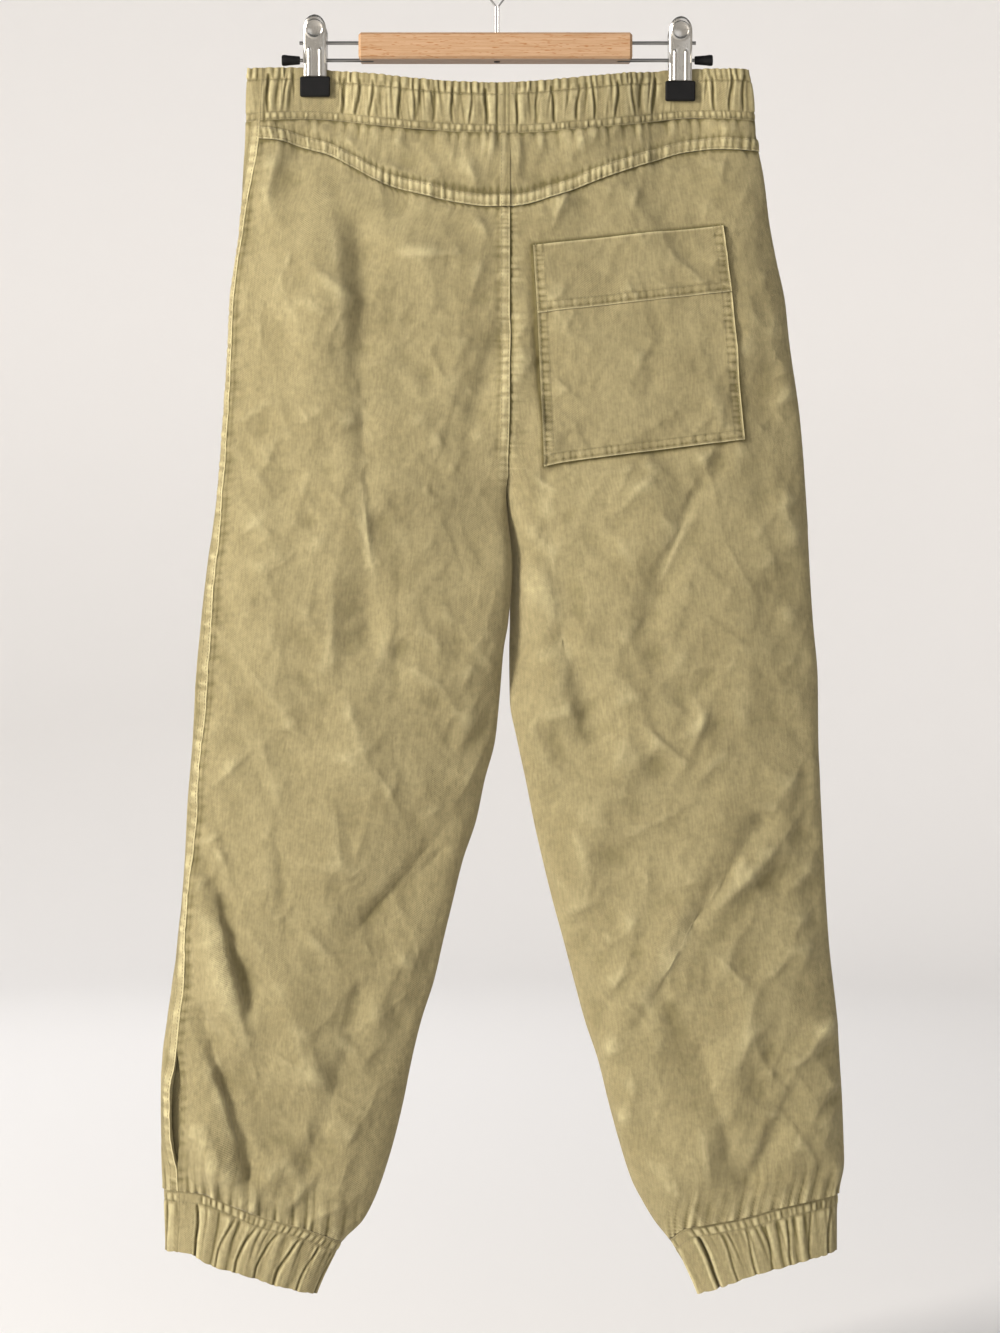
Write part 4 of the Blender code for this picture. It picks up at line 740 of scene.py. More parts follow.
def lacqueredBeech(name):
    # Steamed beech, planed and lacquered: warm, with short dark flecks and fine lengthwise grain.
    made, tree, shader = newFinish(name, {"Roughness": 0.42, "Coat Weight": 0.1, "Coat Roughness": 0.4,
                                          "Specular IOR Level": 0.25})
    place = objectPlace(tree)
    lines = noise(tree, mapped(tree, place, Scale=(0.035, 1.0, 1.0)), 1.5, 5.0, 0.6)
    spots = noise(tree, mapped(tree, place, Scale=(0.14, 1.0, 1.0)), 0.9, 1.0)
    base = colourMix(tree, spread(tree, lines, 0.35, 0.68), linear("#b29272"), linear("#9d7956"))
    flecked = colourMix(tree, spread(tree, spots, 0.6, 0.72), base, linear("#94653b"))
    tree.links.new(flecked, shader.inputs["Base Color"])
    bumped(tree, shader, lines, 0.2, 0.15)
    return made


def platedSteel(name, colour, roughness, brushed):
    # Pressed steel, zinc plated: bright, with faint drag marks along the sheet.
    made, tree, shader = newFinish(name, {"Base Color": linear(colour), "Metallic": 1.0})
    marks = noise(tree, mapped(tree, objectPlace(tree), Scale=brushed), 0.8, 4.0)
    rough = spread(tree, marks, 0.3, 0.7, roughness - 0.07, roughness + 0.09)
    tree.links.new(rough, shader.inputs["Roughness"])
    bumped(tree, shader, marks, 0.08, 0.05)
    return made


def mouldedRubber(name):
    # Soft black rubber from a mould: dark, a little dusty, with a broad dull shine.
    made, tree, shader = newFinish(name, {"Specular IOR Level": 0.2})
    dust = noise(tree, objectPlace(tree), 2.5, 5.0)
    colour = colourMix(tree, spread(tree, dust, 0.4, 0.75), linear("#070707"), linear("#131212"))
    tree.links.new(colour, shader.inputs["Base Color"])
    tree.links.new(spread(tree, dust, 0.3, 0.7, 0.5, 0.7), shader.inputs["Roughness"])
    return made


def paintedPlaster(name, colour):
    return newFinish(name, {"Base Color": linear(colour), "Roughness": 0.9})[0]


finishes = {
    "twill": garmentDyedTwill("garment_dyed_cotton_twill", twill),
    "beech": lacqueredBeech("lacquered_steamed_beech"),
    "steel": platedSteel("zinc_plated_pressed_steel", "#b5b2ab", 0.3, (1.0, 1.0, 0.06)),
    "pressed": platedSteel("polished_pressed_steel", "#a5a29b", 0.22, (1.0, 1.0, 0.05)),
    # The hole's painted shade borrows the black of the moulded rubber.
    "shade": mouldedRubber("painted_shade_in_drilled_hole"),
    "wire": platedSteel("drawn_steel_wire", "#8b8a87", 0.34, (0.06, 1.0, 1.0)),
    "rubber": mouldedRubber("moulded_black_rubber"),
    # The thread is darker than the cloth: partly its own tone, partly painted shade of the needle holes.
    "thread": spunThread("spun_polyester_thread", "#7f7551"),
}
print("finishes made:", len(finishes))


trousers = {
    "backColumns": 144, "backRows": 480, "backSpacing": 1.8, "frontColumns": 80, "frontRows": 250,
    "frontTopRows": 12, "frontSpacing": 3.4, "frontShift": 3.0, "yokeRows": 30, "felledSide": 6.0,
    "felledCentre": 7.6, "felledYoke": 9.6,
}
# Distances of the stitch lines from their seam.
sideStitches, centreStitches, yokeStitches = (1.8, 6.6), (1.4, 6.6), (1.4, 8.6)


def panelGrid(side, panel):
    # s and drop of a fine grid between the same seams as the solid panel.
    top = seamAtSide(side, yokeSeam, 160.0)
    bottom = cuffSeam[side][0][1]
    levels = np.linspace(top, bottom, trousers[panel + "Rows"])
    upper = yokeSeam
    if panel == "front":
        waist = seamAtSide(side, waistSeam, 142.0)
        levels = np.concatenate([np.linspace(waist, top, trousers["frontTopRows"])[:-1], levels])
        upper = waistSeam
    seam = sideSeam(side, levels, panel)
    trim = seamGap / 2 / halfLength(side, levels)
    turn = -1 if panel == "back" else 1
    start, end = seam + turn * trim, turn * (1 - trim)
    s = start[:, None] + (end - start)[:, None] * np.linspace(0, 1, trousers[panel + "Columns"])
    level = np.broadcast_to(levels[:, None], s.shape)
    lift = across(side, upper, s, levels[0]) - levels[0]
    fade = np.clip(1 - (level - levels[0]) / yokeFade, 0, 1) ** 2
    sink = aroundLeg(cuffSeam, side, s) - levels[-1]
    swell = np.clip(1 - (levels[-1] - level) / cuffFade, 0, 1) ** 1.5
    drops = level + (lift - lift[:, :1]) * fade + (sink - sink[:, :1]) * swell
    drops[0] += seamGap / 2
    drops[-1] -= seamGap / 2
    return s, drops


# Where the two legs meet: how near the centre seam and the crotch, and how far each leg moves there.
meeting = {"reach": 12.0, "tall": 17.0, "overlap": 0.7, "pass": 1.7}


def smoothSurface(side, drops, s, frontShift=0.0):
    # Places and outward directions of a panel before its folds.
    place, facing = points(side, drops, s), normals(side, drops, s)
    for row in (0, -1):
        facing[row, :, 2] = 0.0
    facing[:, -1, 1] *= 1 - legShare(drops[:, -1])
    # Just under the centre seam the two legs pass each other, so that no light shows between them.
    along = alongRows(place)
    toInner = along[:, -1:] - along
    meet = bell(toInner, meeting["reach"]) * bell(drops - crotch, meeting["tall"])
    place[:, :, 0] -= side * meeting["overlap"] * meet
    place[:, :, 1] += side * meeting["pass"] * meet
    # The centre seams of front and back aren't in line, so no light shows through them either.
    place[:, :, 0] += frontShift * (1 - legShare(drops)) * bell(toInner, 25.0)
    return place, normalise(facing)


def raised(side, drops, s, place, extra):
    # Height of all folds and seams, level where the legs meet.
    along = alongRows(place)
    inner = legShare(drops) * bell(along[:, -1:] - along, 11.0)
    return (clothHeight(place[:, :, 0], drops, s) * edgeFade(side, drops, s) + extra) * (1 - inner)


def stitchGroove(distance, lines, depth=0.4, half=0.8):
    # Sewing pulls the cloth down along each stitch line.
    return -depth * sum(bell(distance - line, half) for line in lines)


def edgeLine(distance, width, strength):
    # Rubbed light (above 0, wear) or painted shade (below 0) line along an edge.
    return strength * bell(distance, width)


def toOutline(x, drop, corners):
    # Distance of each point from the closed line through the corners.
    nearest = np.full(x.shape, 1e3)
    for (ax, ad), (bx, bd) in zip(corners, corners[1:] + corners[:1]):
        long2 = (bx - ax) ** 2 + (bd - ad) ** 2
        part = np.clip(((x - ax) * (bx - ax) + (drop - ad) * (bd - ad)) / long2, 0, 1)
        nearest = np.minimum(nearest, np.hypot(x - ax - part * (bx - ax), drop - ad - part * (bd - ad)))
    return nearest


def makePanel(side, panel, word):
    # One leg panel, with its s and drop for the pieces sewn to it.
    s, drops = panelGrid(side, panel)
    place, facing = smoothSurface(side, drops, s, trousers["frontShift"] if panel == "front" else 0.0)
    fromSide, fromTop = alongRows(place), alongColumns(place)
    toInner, toCuff = fromSide[:, -1:] - fromSide, fromTop[-1:] - fromTop
    seed = 50 + side * 7 + (3 if panel == "front" else 0)
    extra = 0.5 * (gathers(drops + 0.2 * fromSide, 8.5, seed) - 0.5) * bell(fromSide, 9.0)
    extra += 2.3 * (gathers(fromSide, 10.0, seed + 1) - 0.4) * np.exp(-toCuff / 19)
    extra += 1.2 * (gathers(fromSide, 5.2, seed + 2) - 0.4) * np.exp(-toCuff / 7)
    hip = 1 - legShare(drops)
    if panel == "front":
        ladder = gathers(drops, 6.5, seed + 7, 0.4) - 0.5
        if side == left:
            extra += (0.9 + 1.0 * ladder) * softBand(fromSide, trousers["felledSide"] + 1.6)
            extra += stitchGroove(fromSide, sideStitches)
        extra += 1.6 * (gathers(fromSide, 9.0, seed + 4) - 0.4) * np.exp(-fromTop / 20)
    else:
        extra += 0.6 * softBand(fromSide, 2.4)
        extra += 0.8 * (gathers(fromSide, 6.2, seed + 4) - 0.7) * np.exp(-fromTop / 6)
        if side == left:
            ladder = gathers(drops, 6.5, seed + 5, 0.4) - 0.5
            extra += hip * softBand(toInner, trousers["felledCentre"]) * (0.85 + 0.7 * ladder)
            extra += hip * stitchGroove(toInner, centreStitches)
        else:
            extra -= hip * 0.5 * bell(toInner, 2.5)
        extra += 0.7 * hip * (gathers(drops, 6.0, seed + 6) - 0.5) * bell(toInner, 11.0)
    height = raised(side, drops, s, place, extra)
    if panel == "back":
        # Painted shade: dark lines under the yoke seam, along the side edge and at the right panel's centre
        # seam; the light line at the left centre seam is wear.
        wearAndPaintedShade = edgeLine(fromTop, 2.2, -0.55) + edgeLine(fromSide, 2.2, -0.5)
        wearAndPaintedShade += hip * edgeLine(toInner, 1.9, 0.5 if side == left else -0.6)
        if side == right:
            # Painted shadow on the panel round the pocket's outline.
            wearAndPaintedShade += edgeLine(toOutline(place[:, :, 0], drops, pocketCorners), 2.4, -0.55)
    else:
        # The light line at the side seam is wear; the dark lines under the waistband and at the right panel's
        # centre seam are painted shade.
        wearAndPaintedShade = edgeLine(fromSide, 1.7, 0.5) + edgeLine(fromTop, 3.0, -0.4)
        wearAndPaintedShade += hip * edgeLine(toInner, 2.6, 0.5 if side == left else -0.6)
    made = clothPiece(panel + "_" + word + "_cloth", place, facing, height, panelWall,
                      trousers[panel + "Spacing"], sewn=extra, wearAndPaintedShade=wearAndPaintedShade)
    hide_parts(panel + "_" + word)
    return made, s, drops


def makeYoke(side, word, panelS, panelDrops):
    # One half of the yoke, between the waistband and the upper edge of its back panel.
    share = np.linspace(0, 1, trousers["yokeRows"])[:, None]
    s = np.tile(panelS[0], (trousers["yokeRows"], 1))
    top = across(side, waistSeam, panelS[0], 145.0) + seamGap / 2
    drops = top + (panelDrops[0] - seamGap - top) * share
    place, facing = smoothSurface(side, drops, s)
    fromSide, fromTop = alongRows(place), alongColumns(place)
    toPanel, toCentre = fromTop[-1:] - fromTop, fromSide[:, -1:] - fromSide
    reach = np.clip(fromTop[-1:] / 12, 0.2, 1)
    felled = softBand(toPanel, trousers["felledYoke"])
    ladder = gathers(fromSide + 0.25 * toPanel, 5.6, 71 + side, 0.4, 0.8) - 0.55
    extra = felled * (1.5 + 1.6 * ladder) + stitchGroove(toPanel, yokeStitches)
    extra += 0.9 * ladder * bell(toPanel - 12.5, 3.5)
    extra += 1.6 * (gathers(fromSide, 10.5, 81 + side) - 0.4) * np.exp(-fromTop / 13) * (1 - felled) * reach
    if side == left:
        extra += 0.7 * softBand(toCentre, trousers["felledCentre"]) + stitchGroove(toCentre, centreStitches)
    height = raised(side, drops, s, place, extra)
    # The light line along the lower edge is wear; the dark line under the waistband is painted shade.
    wearAndPaintedShade = edgeLine(toPanel, 1.5, 0.5) + edgeLine(fromTop, 2.0, -0.5)
    made = clothPiece("yoke_" + word + "_cloth", place, facing, height, panelWall,
                      trousers["backSpacing"], sewn=extra, wearAndPaintedShade=wearAndPaintedShade)
    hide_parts("yoke_" + word)
    return made, s, drops


waistBand = {
    "columns": 560, "rows": 40, "header": 10.0, "lowStitch": 6.6, "tall": 1.7, "frill": 1.7,
    "puckers": 1.4, "flatCentre": (8.2, 9.5), "flatSide": (-197.0, 6.0),
}
# Deep folds of the back waistband: x at the lower stitches, x at the header, half width, depth.
waistValleys = [
    (-188, -187, 2.6, 2.6), (-176, -172, 2.2, 1.6), (-127, -125, 2.4, 2.4), (-116, -112, 2.2, 2.4),
    (-104, -101, 2.2, 2.2), (-80, -79, 2.4, 2.2), (-66, -68, 2, 1.4), (-52, -50, 2, 1.4),
    (-36, -37, 2.2, 1.6), (-22, -20, 2, 1.6), (-8, -9, 2.8, 2.6), (17, 15, 2.6, 2.4),
    (31, 33, 2, 1.6), (47, 45, 2.2, 1.8), (64, 67, 2.2, 1.6), (80, 79, 2, 1.8),
    (97, 99, 2.2, 2), (113, 110, 2.2, 1.6), (127, 129, 2.4, 2.2), (178, 176, 2.4, 2.4),
    (190, 192, 2.4, 2.4), (201, 202, 2.2, 2),
]


def pleat(off, width, depth):
    # A narrow sunken fold between two slightly raised lips.
    away = np.abs(off / width)
    return depth * (0.16 * bell(away - 2.4, 1.2) - np.exp(-away ** 1.4))


def scattered(seed, start, end, pitch, widths, depths, lean):
    # Folds at uneven spacing: lower place, upper place, half width and depth of each.
    rng = np.random.default_rng(seed + 400)
    rows, at = [], float(start)
    while at < end:
        rows.append((at, at + rng.uniform(-lean, lean), rng.uniform(*widths), rng.uniform(*depths)))
        at += pitch * rng.uniform(0.5, 1.5)
    return rows


def makeWaistband(panel, edges):
    # One waistband strip, from side seam to side seam: elastic channel, header and lower stitches.
    count, rows = waistBand["columns"], waistBand["rows"]
    leftS, leftDrop = edges[left]
    rightS, rightDrop = edges[right]
    reach = [abs(leftS[-1] - leftS[0]), abs(rightS[-1] - rightS[0])]
    walk = np.linspace(0, sum(reach), count)
    turn = 1.0 if panel == "front" else -1.0
    onLeft = walk <= reach[0]
    s = np.where(onLeft, leftS[0] + turn * walk, rightS[-1] - turn * (walk - reach[0]))
    low = np.where(onLeft, np.interp(turn * s, turn * leftS, leftDrop),
                   np.interp(turn * s, turn * rightS, rightDrop)) - seamGap
    place, facing = np.zeros((rows, count, 3)), np.zeros((rows, count, 3))
    drops = np.zeros((rows, count))
    share = np.linspace(0, 1, rows)[:, None]
    for side, mask in ((left, onLeft), (right, ~onLeft)):
        high = across(side, waistTop, s[mask], 102.0)
        scallop = 0.9 * gathers(walk[mask] * 210, 7.0, 90 + side) - 0.4
        drops[:, mask] = low[mask] + (high - scallop - low[mask]) * share
        tiled = np.broadcast_to(s[mask], drops[:, mask].shape)
        place[:, mask] = points(side, drops[:, mask], tiled)
        facing[:, mask] = normals(side, drops[:, mask], tiled)
    facing[0, :, 2] = 0.0
    facing = normalise(facing)
    along, rise = alongRows(place), alongColumns(place)
    along = np.broadcast_to(along.mean(axis=0), rise.shape)
    x, tall = place[:, :, 0], rise[-1:]
    seed = 11 if panel == "back" else 12
    lowEdge, header = waistBand["lowStitch"], tall - waistBand["header"]
    channel = np.clip(np.sin(math.pi * np.clip((rise - lowEdge) / (header + 5 - lowEdge), 0, 1)), 0, 1) ** 0.4
    height = waistBand["tall"] * (gathers(along + 1.5 * np.sin(rise / 9), 17.0, seed, 0.5, 1.0) - 0.4) * channel
    frill = gathers(along, 5.4, seed + 2, 0.4) - 0.5
    height += waistBand["frill"] * frill * np.clip((rise - header) / 2.5, 0, 1)
    height += waistBand["puckers"] * (gathers(along, 4.9, seed + 3, 0.4) - 0.5) * np.sin(
        math.pi * np.clip(rise / lowEdge, 0, 1)) ** 0.6
    height += (stitchGroove(rise, (firstStitch, lowEdge))
               + stitchGroove(tall - rise, (waistBand["header"],), 0.6))
    part = np.clip((rise - lowEdge) / (header - lowEdge), 0, 1)
    known = waistValleys if panel == "back" else scattered(seed, -192, 196, 13.0, (1.3, 2.3), (1.4, 3.2), 3.0)
    for xLow, xHigh, width, depth in known:
        off = x - xLow - (xHigh - xLow) * part - 0.45 * np.sin(rise / 5 + xLow)
        height += pleat(off, width * 0.42, depth * 0.8) * channel
    for xLow, xHigh, width, depth in scattered(seed + 4, -196, 200, 5.6, (0.5, 1.0), (0.3, 1.3), 4.0):
        fade = part if depth * 10 % 2 < 1 else 1 - part
        height += pleat(x - xLow - (xHigh - xLow) * part, width, depth) * channel * fade
    if panel == "back":
        for middle, half in (waistBand["flatCentre"], waistBand["flatSide"]):
            height *= 1 - 0.85 * np.exp(-((x - middle) / half) ** 4)
        height -= 1.1 * bell(x - 0.2, 0.9) + 0.9 * bell(x - 16.6, 0.8)
        height += stitchGroove(x, (6.8, 10.2), 0.5)
        height -= 1.0 * bell(x + 190.5, 0.9)
    for clipX, hold, _ in clipGrips:
        off = np.maximum(np.abs(x - clipX) - hold, 0)
        height *= 1 - bell(off, 3.0) * np.clip((134 - drops) / 12, 0, 1)
    ends = np.minimum(along, along.max() - along)
    height *= np.clip(ends / 4, 0, 1)
    made = clothPiece("waistband_" + panel + "_cloth", place, facing, height, bandWall, 1.0, 3)
    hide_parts("waistband_" + panel)
    return made


# Folds of the cuffs that show: distance from the side seam at the hem and at the stitches, half width, depth.
cuffFolds = {
    left: [(17, 14, 1.8, 4.2), (38, 45, 1.6, 2.2), (56, 62, 1.8, 3), (74, 80, 1.6, 2.6),
           (92, 99, 1.8, 3), (112, 116, 1.5, 2), (130, 132, 1.6, 2.2)],
    right: [(12, 10, 1.6, 2), (28, 24, 1.8, 2.2), (46, 41, 1.5, 1.8), (64, 60, 1.8, 2.6),
            (81, 77, 1.6, 2.2), (97, 93, 1.7, 2.4), (114, 112, 1.6, 2), (132, 130, 2.4, 5.6)],
}
cuffFlats = {left: [(6.0, 7.0)], right: [(142.0, 7.0)]}
cuff = {"columns": 340, "rows": 36, "stitchGap": 7.6, "tall": 1.6, "ladder": 1.9}
cuffStitches = (firstStitch, firstStitch + cuff["stitchGap"])


def makeCuff(side, word, edges):
    # One ankle cuff, round the leg from the side seam over the back to the front.
    half = cuff["columns"] // 2
    backS, backDrop = edges["back"]
    frontS, frontDrop = edges["front"]
    onBack = np.arange(2 * half + 1) <= half
    s = np.concatenate([np.linspace(backS[0], -1.0, half + 1), np.linspace(1.0, frontS[0], half + 1)[1:]])
    low = np.where(onBack, np.interp(-s, -backS, backDrop), np.interp(s, frontS, frontDrop)) + seamGap
    share = np.linspace(0, 1, cuff["rows"])[:, None]
    walk = np.cumsum(np.concatenate([[0], np.abs(np.diff(s)) % 1.9])) * 130
    scallop = 1.1 * gathers(walk, 11.0, 300 + side) - 0.5
    drops = low + (aroundLeg(cuffHem, side, s) + scallop - low) * share
    tiled = np.broadcast_to(s, drops.shape)
    place, facing = points(side, drops, tiled), normals(side, drops, tiled)
    facing[0, :, 2] = 0.0
    facing = normalise(facing)
    along, fall = alongRows(place), alongColumns(place)
    along = np.broadcast_to(along.mean(axis=0), fall.shape)
    below = np.clip((fall - cuff["stitchGap"] - 1.0) / 4, 0, 1)
    ladder = np.sin(math.pi * np.clip((fall - 1.5) / cuff["stitchGap"], 0, 1)) ** 0.6
    height = cuff["tall"] * (gathers(along + np.sin(fall / 8), 19.0, 310 + side, 0.5, 1.0) - 0.4) * below
    height += cuff["ladder"] * (gathers(along, 5.0, 330 + side, 0.4) - 0.5) * ladder
    height += stitchGroove(fall, cuffStitches)
    part = np.clip((fall - cuff["stitchGap"]) / 34, 0, 1)
    hidden = scattered(340 + side, 155, 330, 17.0, (1.4, 2.6), (1.5, 3.5), 4.0)
    for low, high, width, depth in cuffFolds[side] + hidden:
        off = along - high - (low - high) * part - 0.3 * np.sin(fall / 6 + low)
        height += pleat(off, width * 0.5, depth * 0.6) * below
    for low, high, width, depth in scattered(350 + side, 4, 330, 7.0, (0.7, 1.3), (0.4, 1.4), 3.0):
        height += pleat(along - high - (low - high) * part, width, depth) * below * (1 - 0.8 * part)
    for middle, half in cuffFlats[side]:
        height *= 1 - 0.8 * np.exp(-(((along - middle) / half) ** 4))
    ends = np.minimum(along, along.max() - along)
    height *= np.clip(ends / 4, 0, 1)
    made = clothPiece("cuff_" + word + "_cloth", place, facing, height, bandWall, 1.3, 3)
    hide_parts("cuff_" + word)
    return made


underlap = {"top": 893.0, "low": 1007.0, "rows": 60, "columns": 12, "reach": 6.0, "sunk": 0.4, "wall": 1.0}


def makeUnderlap(side, word):
    # The cloth seen inside the ankle slit.
    place, facing, count = [], [], underlap["columns"]
    for drop in np.linspace(underlap["top"], underlap["low"], underlap["rows"]):
        reach = underlap["reach"] / halfLength(side, drop)[0]
        back = float(sideSeam(side, np.array([drop]), "back")[0]) - reach
        front = float(sideSeam(side, np.array([drop]), "front")[0]) + reach
        s, level = np.linspace(back, front, count), np.full(count, drop)
        facing.append(normals(side, level, s))
        place.append(points(side, level, s) - facing[-1] * (panelWall + seamGap + underlap["sunk"]))
    place, facing = np.array(place), np.array(facing)
    made = clothPiece("slit_underlap_" + word + "_cloth", place, facing, np.zeros(place.shape[:2]),
                      underlap["wall"], 2.0)
    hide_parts("slit_underlap_" + word)
    return made


pocket = {"columns": 84, "rows": 96, "bandRows": 44, "bandWall": 1.8, "topstitch": 1.8,
          "secondStitch": 8.0, "spacing": 1.9}


def backPoint(x, drop):
    # The right back panel's surface at a place given by x and drop.
    low, high = np.full(x.shape, -1.0), np.zeros(x.shape)
    for _ in range(26):
        middle = (low + high) / 2
        past = ring(right, drop, middle)[0] < x
        low, high = np.where(past, middle, low), np.where(past, high, middle)
    return (low + high) / 2


def makePocketPart(node, corners, rows, wall, wornTop=False):
    # The pocket or its band: stitched down on three edges, rubbed light on those, and on top if worn.
    topLeft, topRight, lowRight, lowLeft = (np.array(c, dtype=float) for c in corners)
    a, b = np.meshgrid(np.linspace(0, 1, pocket["columns"]), np.linspace(0, 1, rows))
    a3, b3 = a[:, :, None], b[:, :, None]
    flat = (topLeft * (1 - a3) + topRight * a3) * (1 - b3) + (lowLeft * (1 - a3) + lowRight * a3) * b3
    x, drop = flat[:, :, 0], flat[:, :, 1]
    s = backPoint(x, drop)
    place, facing = points(right, drop, s), normals(right, drop, s)
    fromLeft, fromTop = alongRows(place), alongColumns(place)
    toRight, toLow = fromLeft[:, -1:] - fromLeft, fromTop[-1:] - fromTop
    near = np.minimum.reduce([fromLeft, toRight, toLow])
    between = np.clip(near / 2, 0, 1) * np.clip((pocket["secondStitch"] + 1 - near) / 2, 0, 1)
    walk = np.where(np.minimum(fromLeft, toRight) < np.minimum(fromTop, toLow), drop, x)
    lift = 0.5 * np.clip(near / 16, 0, 1) + 0.9 * (gathers(walk, 5.4, 401, 0.4) - 0.5) * between
    lift += 0.9 * bell(near, 1.1)
    for line in (pocket["topstitch"], pocket["secondStitch"]):
        lift -= 0.3 * bell(near - line, 0.9)
    height = clothHeight(x, drop, s) * edgeFade(right, drop, s)
    wearAndPaintedShade = edgeLine(np.minimum(near, fromTop) if wornTop else near, 1.3, 0.5)
    made = clothPiece(node + "_cloth", place, facing, height + pocketLift + wall + lift, wall,
                      pocket["spacing"], sewn=lift, wearAndPaintedShade=wearAndPaintedShade)
    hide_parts(node)
    return made


garment = {}
topEdges = {"back": {}, "front": {}}
for side, word in ((left, "left"), (right, "right")):
    lowEdges = {}
    for panel in ("back", "front"):
        garment[panel + "_" + word], s, drops = makePanel(side, panel, word)
        lowEdges[panel] = (s[-1], drops[-1])
        if panel == "front":
            topEdges["front"][side] = (s[0], drops[0])
            continue
        garment["yoke_" + word], yokeS, yokeDrops = makeYoke(side, word, s, drops)
        topEdges["back"][side] = (yokeS[0], yokeDrops[0])
    garment["cuff_" + word] = makeCuff(side, word, lowEdges)
    garment["slit_underlap_" + word] = makeUnderlap(side, word)
for panel in ("back", "front"):
    garment["waistband_" + panel] = makeWaistband(panel, topEdges[panel])
upperLine = [(x, drop - seamGap / 2) for x, drop in bandLine]
lowerLine = [(x, drop + seamGap / 2) for x, drop in bandLine]
garment["back_pocket"] = makePocketPart(
    "back_pocket", lowerLine + pocketCorners[2:], pocket["rows"], pocketWall)
garment["back_pocket_band"] = makePocketPart(
    "back_pocket_band", pocketCorners[:2] + upperLine[::-1], pocket["bandRows"], pocket["bandWall"], True)
print("garment pieces:", len(garment))


thread = {"pitch": 3.0, "length": 2.3, "radius": 0.33, "uneven": (0.85, 1.12)}


def pathAlong(name, edge, distance, start=0.0, end=1.0):
    # A path on a cloth piece at a fixed distance from one of its edges.
    place, outer = pieceGrids[name]
    if edge in ("top", "low"):
        place, outer = place.transpose(1, 0, 2), outer.transpose(1, 0, 2)
    if edge in ("end", "low"):
        place, outer = place[:, ::-1], outer[:, ::-1]
    along = alongRows(place)
    path = []
    for row in range(int(start * (len(place) - 1)), int(end * (len(place) - 1)) + 1):
        if along[row, -1] < distance + 1:
            continue
        path.append([np.interp(distance, along[row], outer[row, :, k]) for k in range(3)])
    return np.array(path)


def stitchTree():
    # Every stitch is a short fat bead of thread, laid end to end along a path.
    tree = bpy.data.node_groups.new("stitch_line", "GeometryNodeTree")
    for name, kind in (("Geometry", "Geometry"), ("Pitch", "Float"), ("Length", "Float"),
                       ("Radius", "Float"), ("Seed", "Int"), ("Material", "Material")):
        tree.interface.new_socket(name=name, in_out="INPUT", socket_type="NodeSocket" + kind)
    tree.interface.new_socket(name="Geometry", in_out="OUTPUT", socket_type="NodeSocketGeometry")
    given = addNode(tree, "NodeGroupInput")
    spaced = addNode(tree, "GeometryNodeResampleCurve", {"mode": "LENGTH"},
                     {"Curve": given.outputs["Geometry"], "Length": given.outputs["Pitch"]})
    bead = addNode(tree, "GeometryNodeMeshUVSphere", {"Segments": 5, "Rings": 4, "Radius": 1.0})
    tangent = addNode(tree, "GeometryNodeInputTangent")
    turn = addNode(tree, "FunctionNodeAlignRotationToVector", {"axis": "Z"}, {"Vector": tangent.outputs[0]})
    half = addNode(tree, "ShaderNodeMath", {"operation": "MULTIPLY", 1: 0.5}, {0: given.outputs["Length"]})
    uneven = addNode(tree, "FunctionNodeRandomValue", {"data_type": "FLOAT"}, {"Seed": given.outputs["Seed"]})
    uneven.inputs[2].default_value, uneven.inputs[3].default_value = thread["uneven"]
    long = addNode(tree, "ShaderNodeMath", {"operation": "MULTIPLY"},
                   {0: half.outputs[0], 1: uneven.outputs[1]})
    size = addNode(tree, "ShaderNodeCombineXYZ", {}, {
        "X": given.outputs["Radius"], "Y": given.outputs["Radius"], "Z": long.outputs[0]})
    placed = addNode(tree, "GeometryNodeInstanceOnPoints", {}, {
        "Points": spaced.outputs[0], "Instance": bead.outputs["Mesh"], "Rotation": turn.outputs[0],
        "Scale": size.outputs[0]})
    real = addNode(tree, "GeometryNodeRealizeInstances", {}, {"Geometry": placed.outputs[0]})
    smooth = addNode(tree, "GeometryNodeSetShadeSmooth", {}, {"Geometry": real.outputs[0]})
    dyed = addNode(tree, "GeometryNodeSetMaterial", {}, {"Geometry": smooth.outputs[0],
                                                         "Material": given.outputs["Material"]})
    addNode(tree, "NodeGroupOutput", {}, {"Geometry": dyed.outputs[0]})
    return tree


stitching = stitchTree()


def sew(name, paths, seed):
    # Rows of stitches along the given paths, made one mesh.
    curve = bpy.data.curves.new(name + "_path", "CURVE")
    curve.dimensions = "3D"
    for path in paths:
        spline = curve.splines.new("POLY")
        spline.points.add(len(path) - 1)
        spots = np.concatenate([path * mm, np.ones((len(path), 1))], axis=1)
        spline.points.foreach_set("co", spots.ravel())
    source = bpy.data.objects.new(name + "_path", curve)
    bpy.context.scene.collection.objects.link(source)
    modifier = source.modifiers.new("stitches", "NODES")
    modifier.node_group = stitching
    values = {"Pitch": thread["pitch"] * mm, "Length": thread["length"] * mm, "Radius": thread["radius"] * mm,
              "Seed": seed, "Material": finishes["thread"]}
    for item in stitching.interface.items_tree:
        if item.in_out == "INPUT" and item.name in values:
            modifier[item.identifier] = values[item.name]
    ready = source.evaluated_get(bpy.context.evaluated_depsgraph_get())
    mesh = bpy.data.meshes.new_from_object(ready)
    mesh.name = name
    bpy.data.objects.remove(source)
    return showMesh(name, mesh, None)


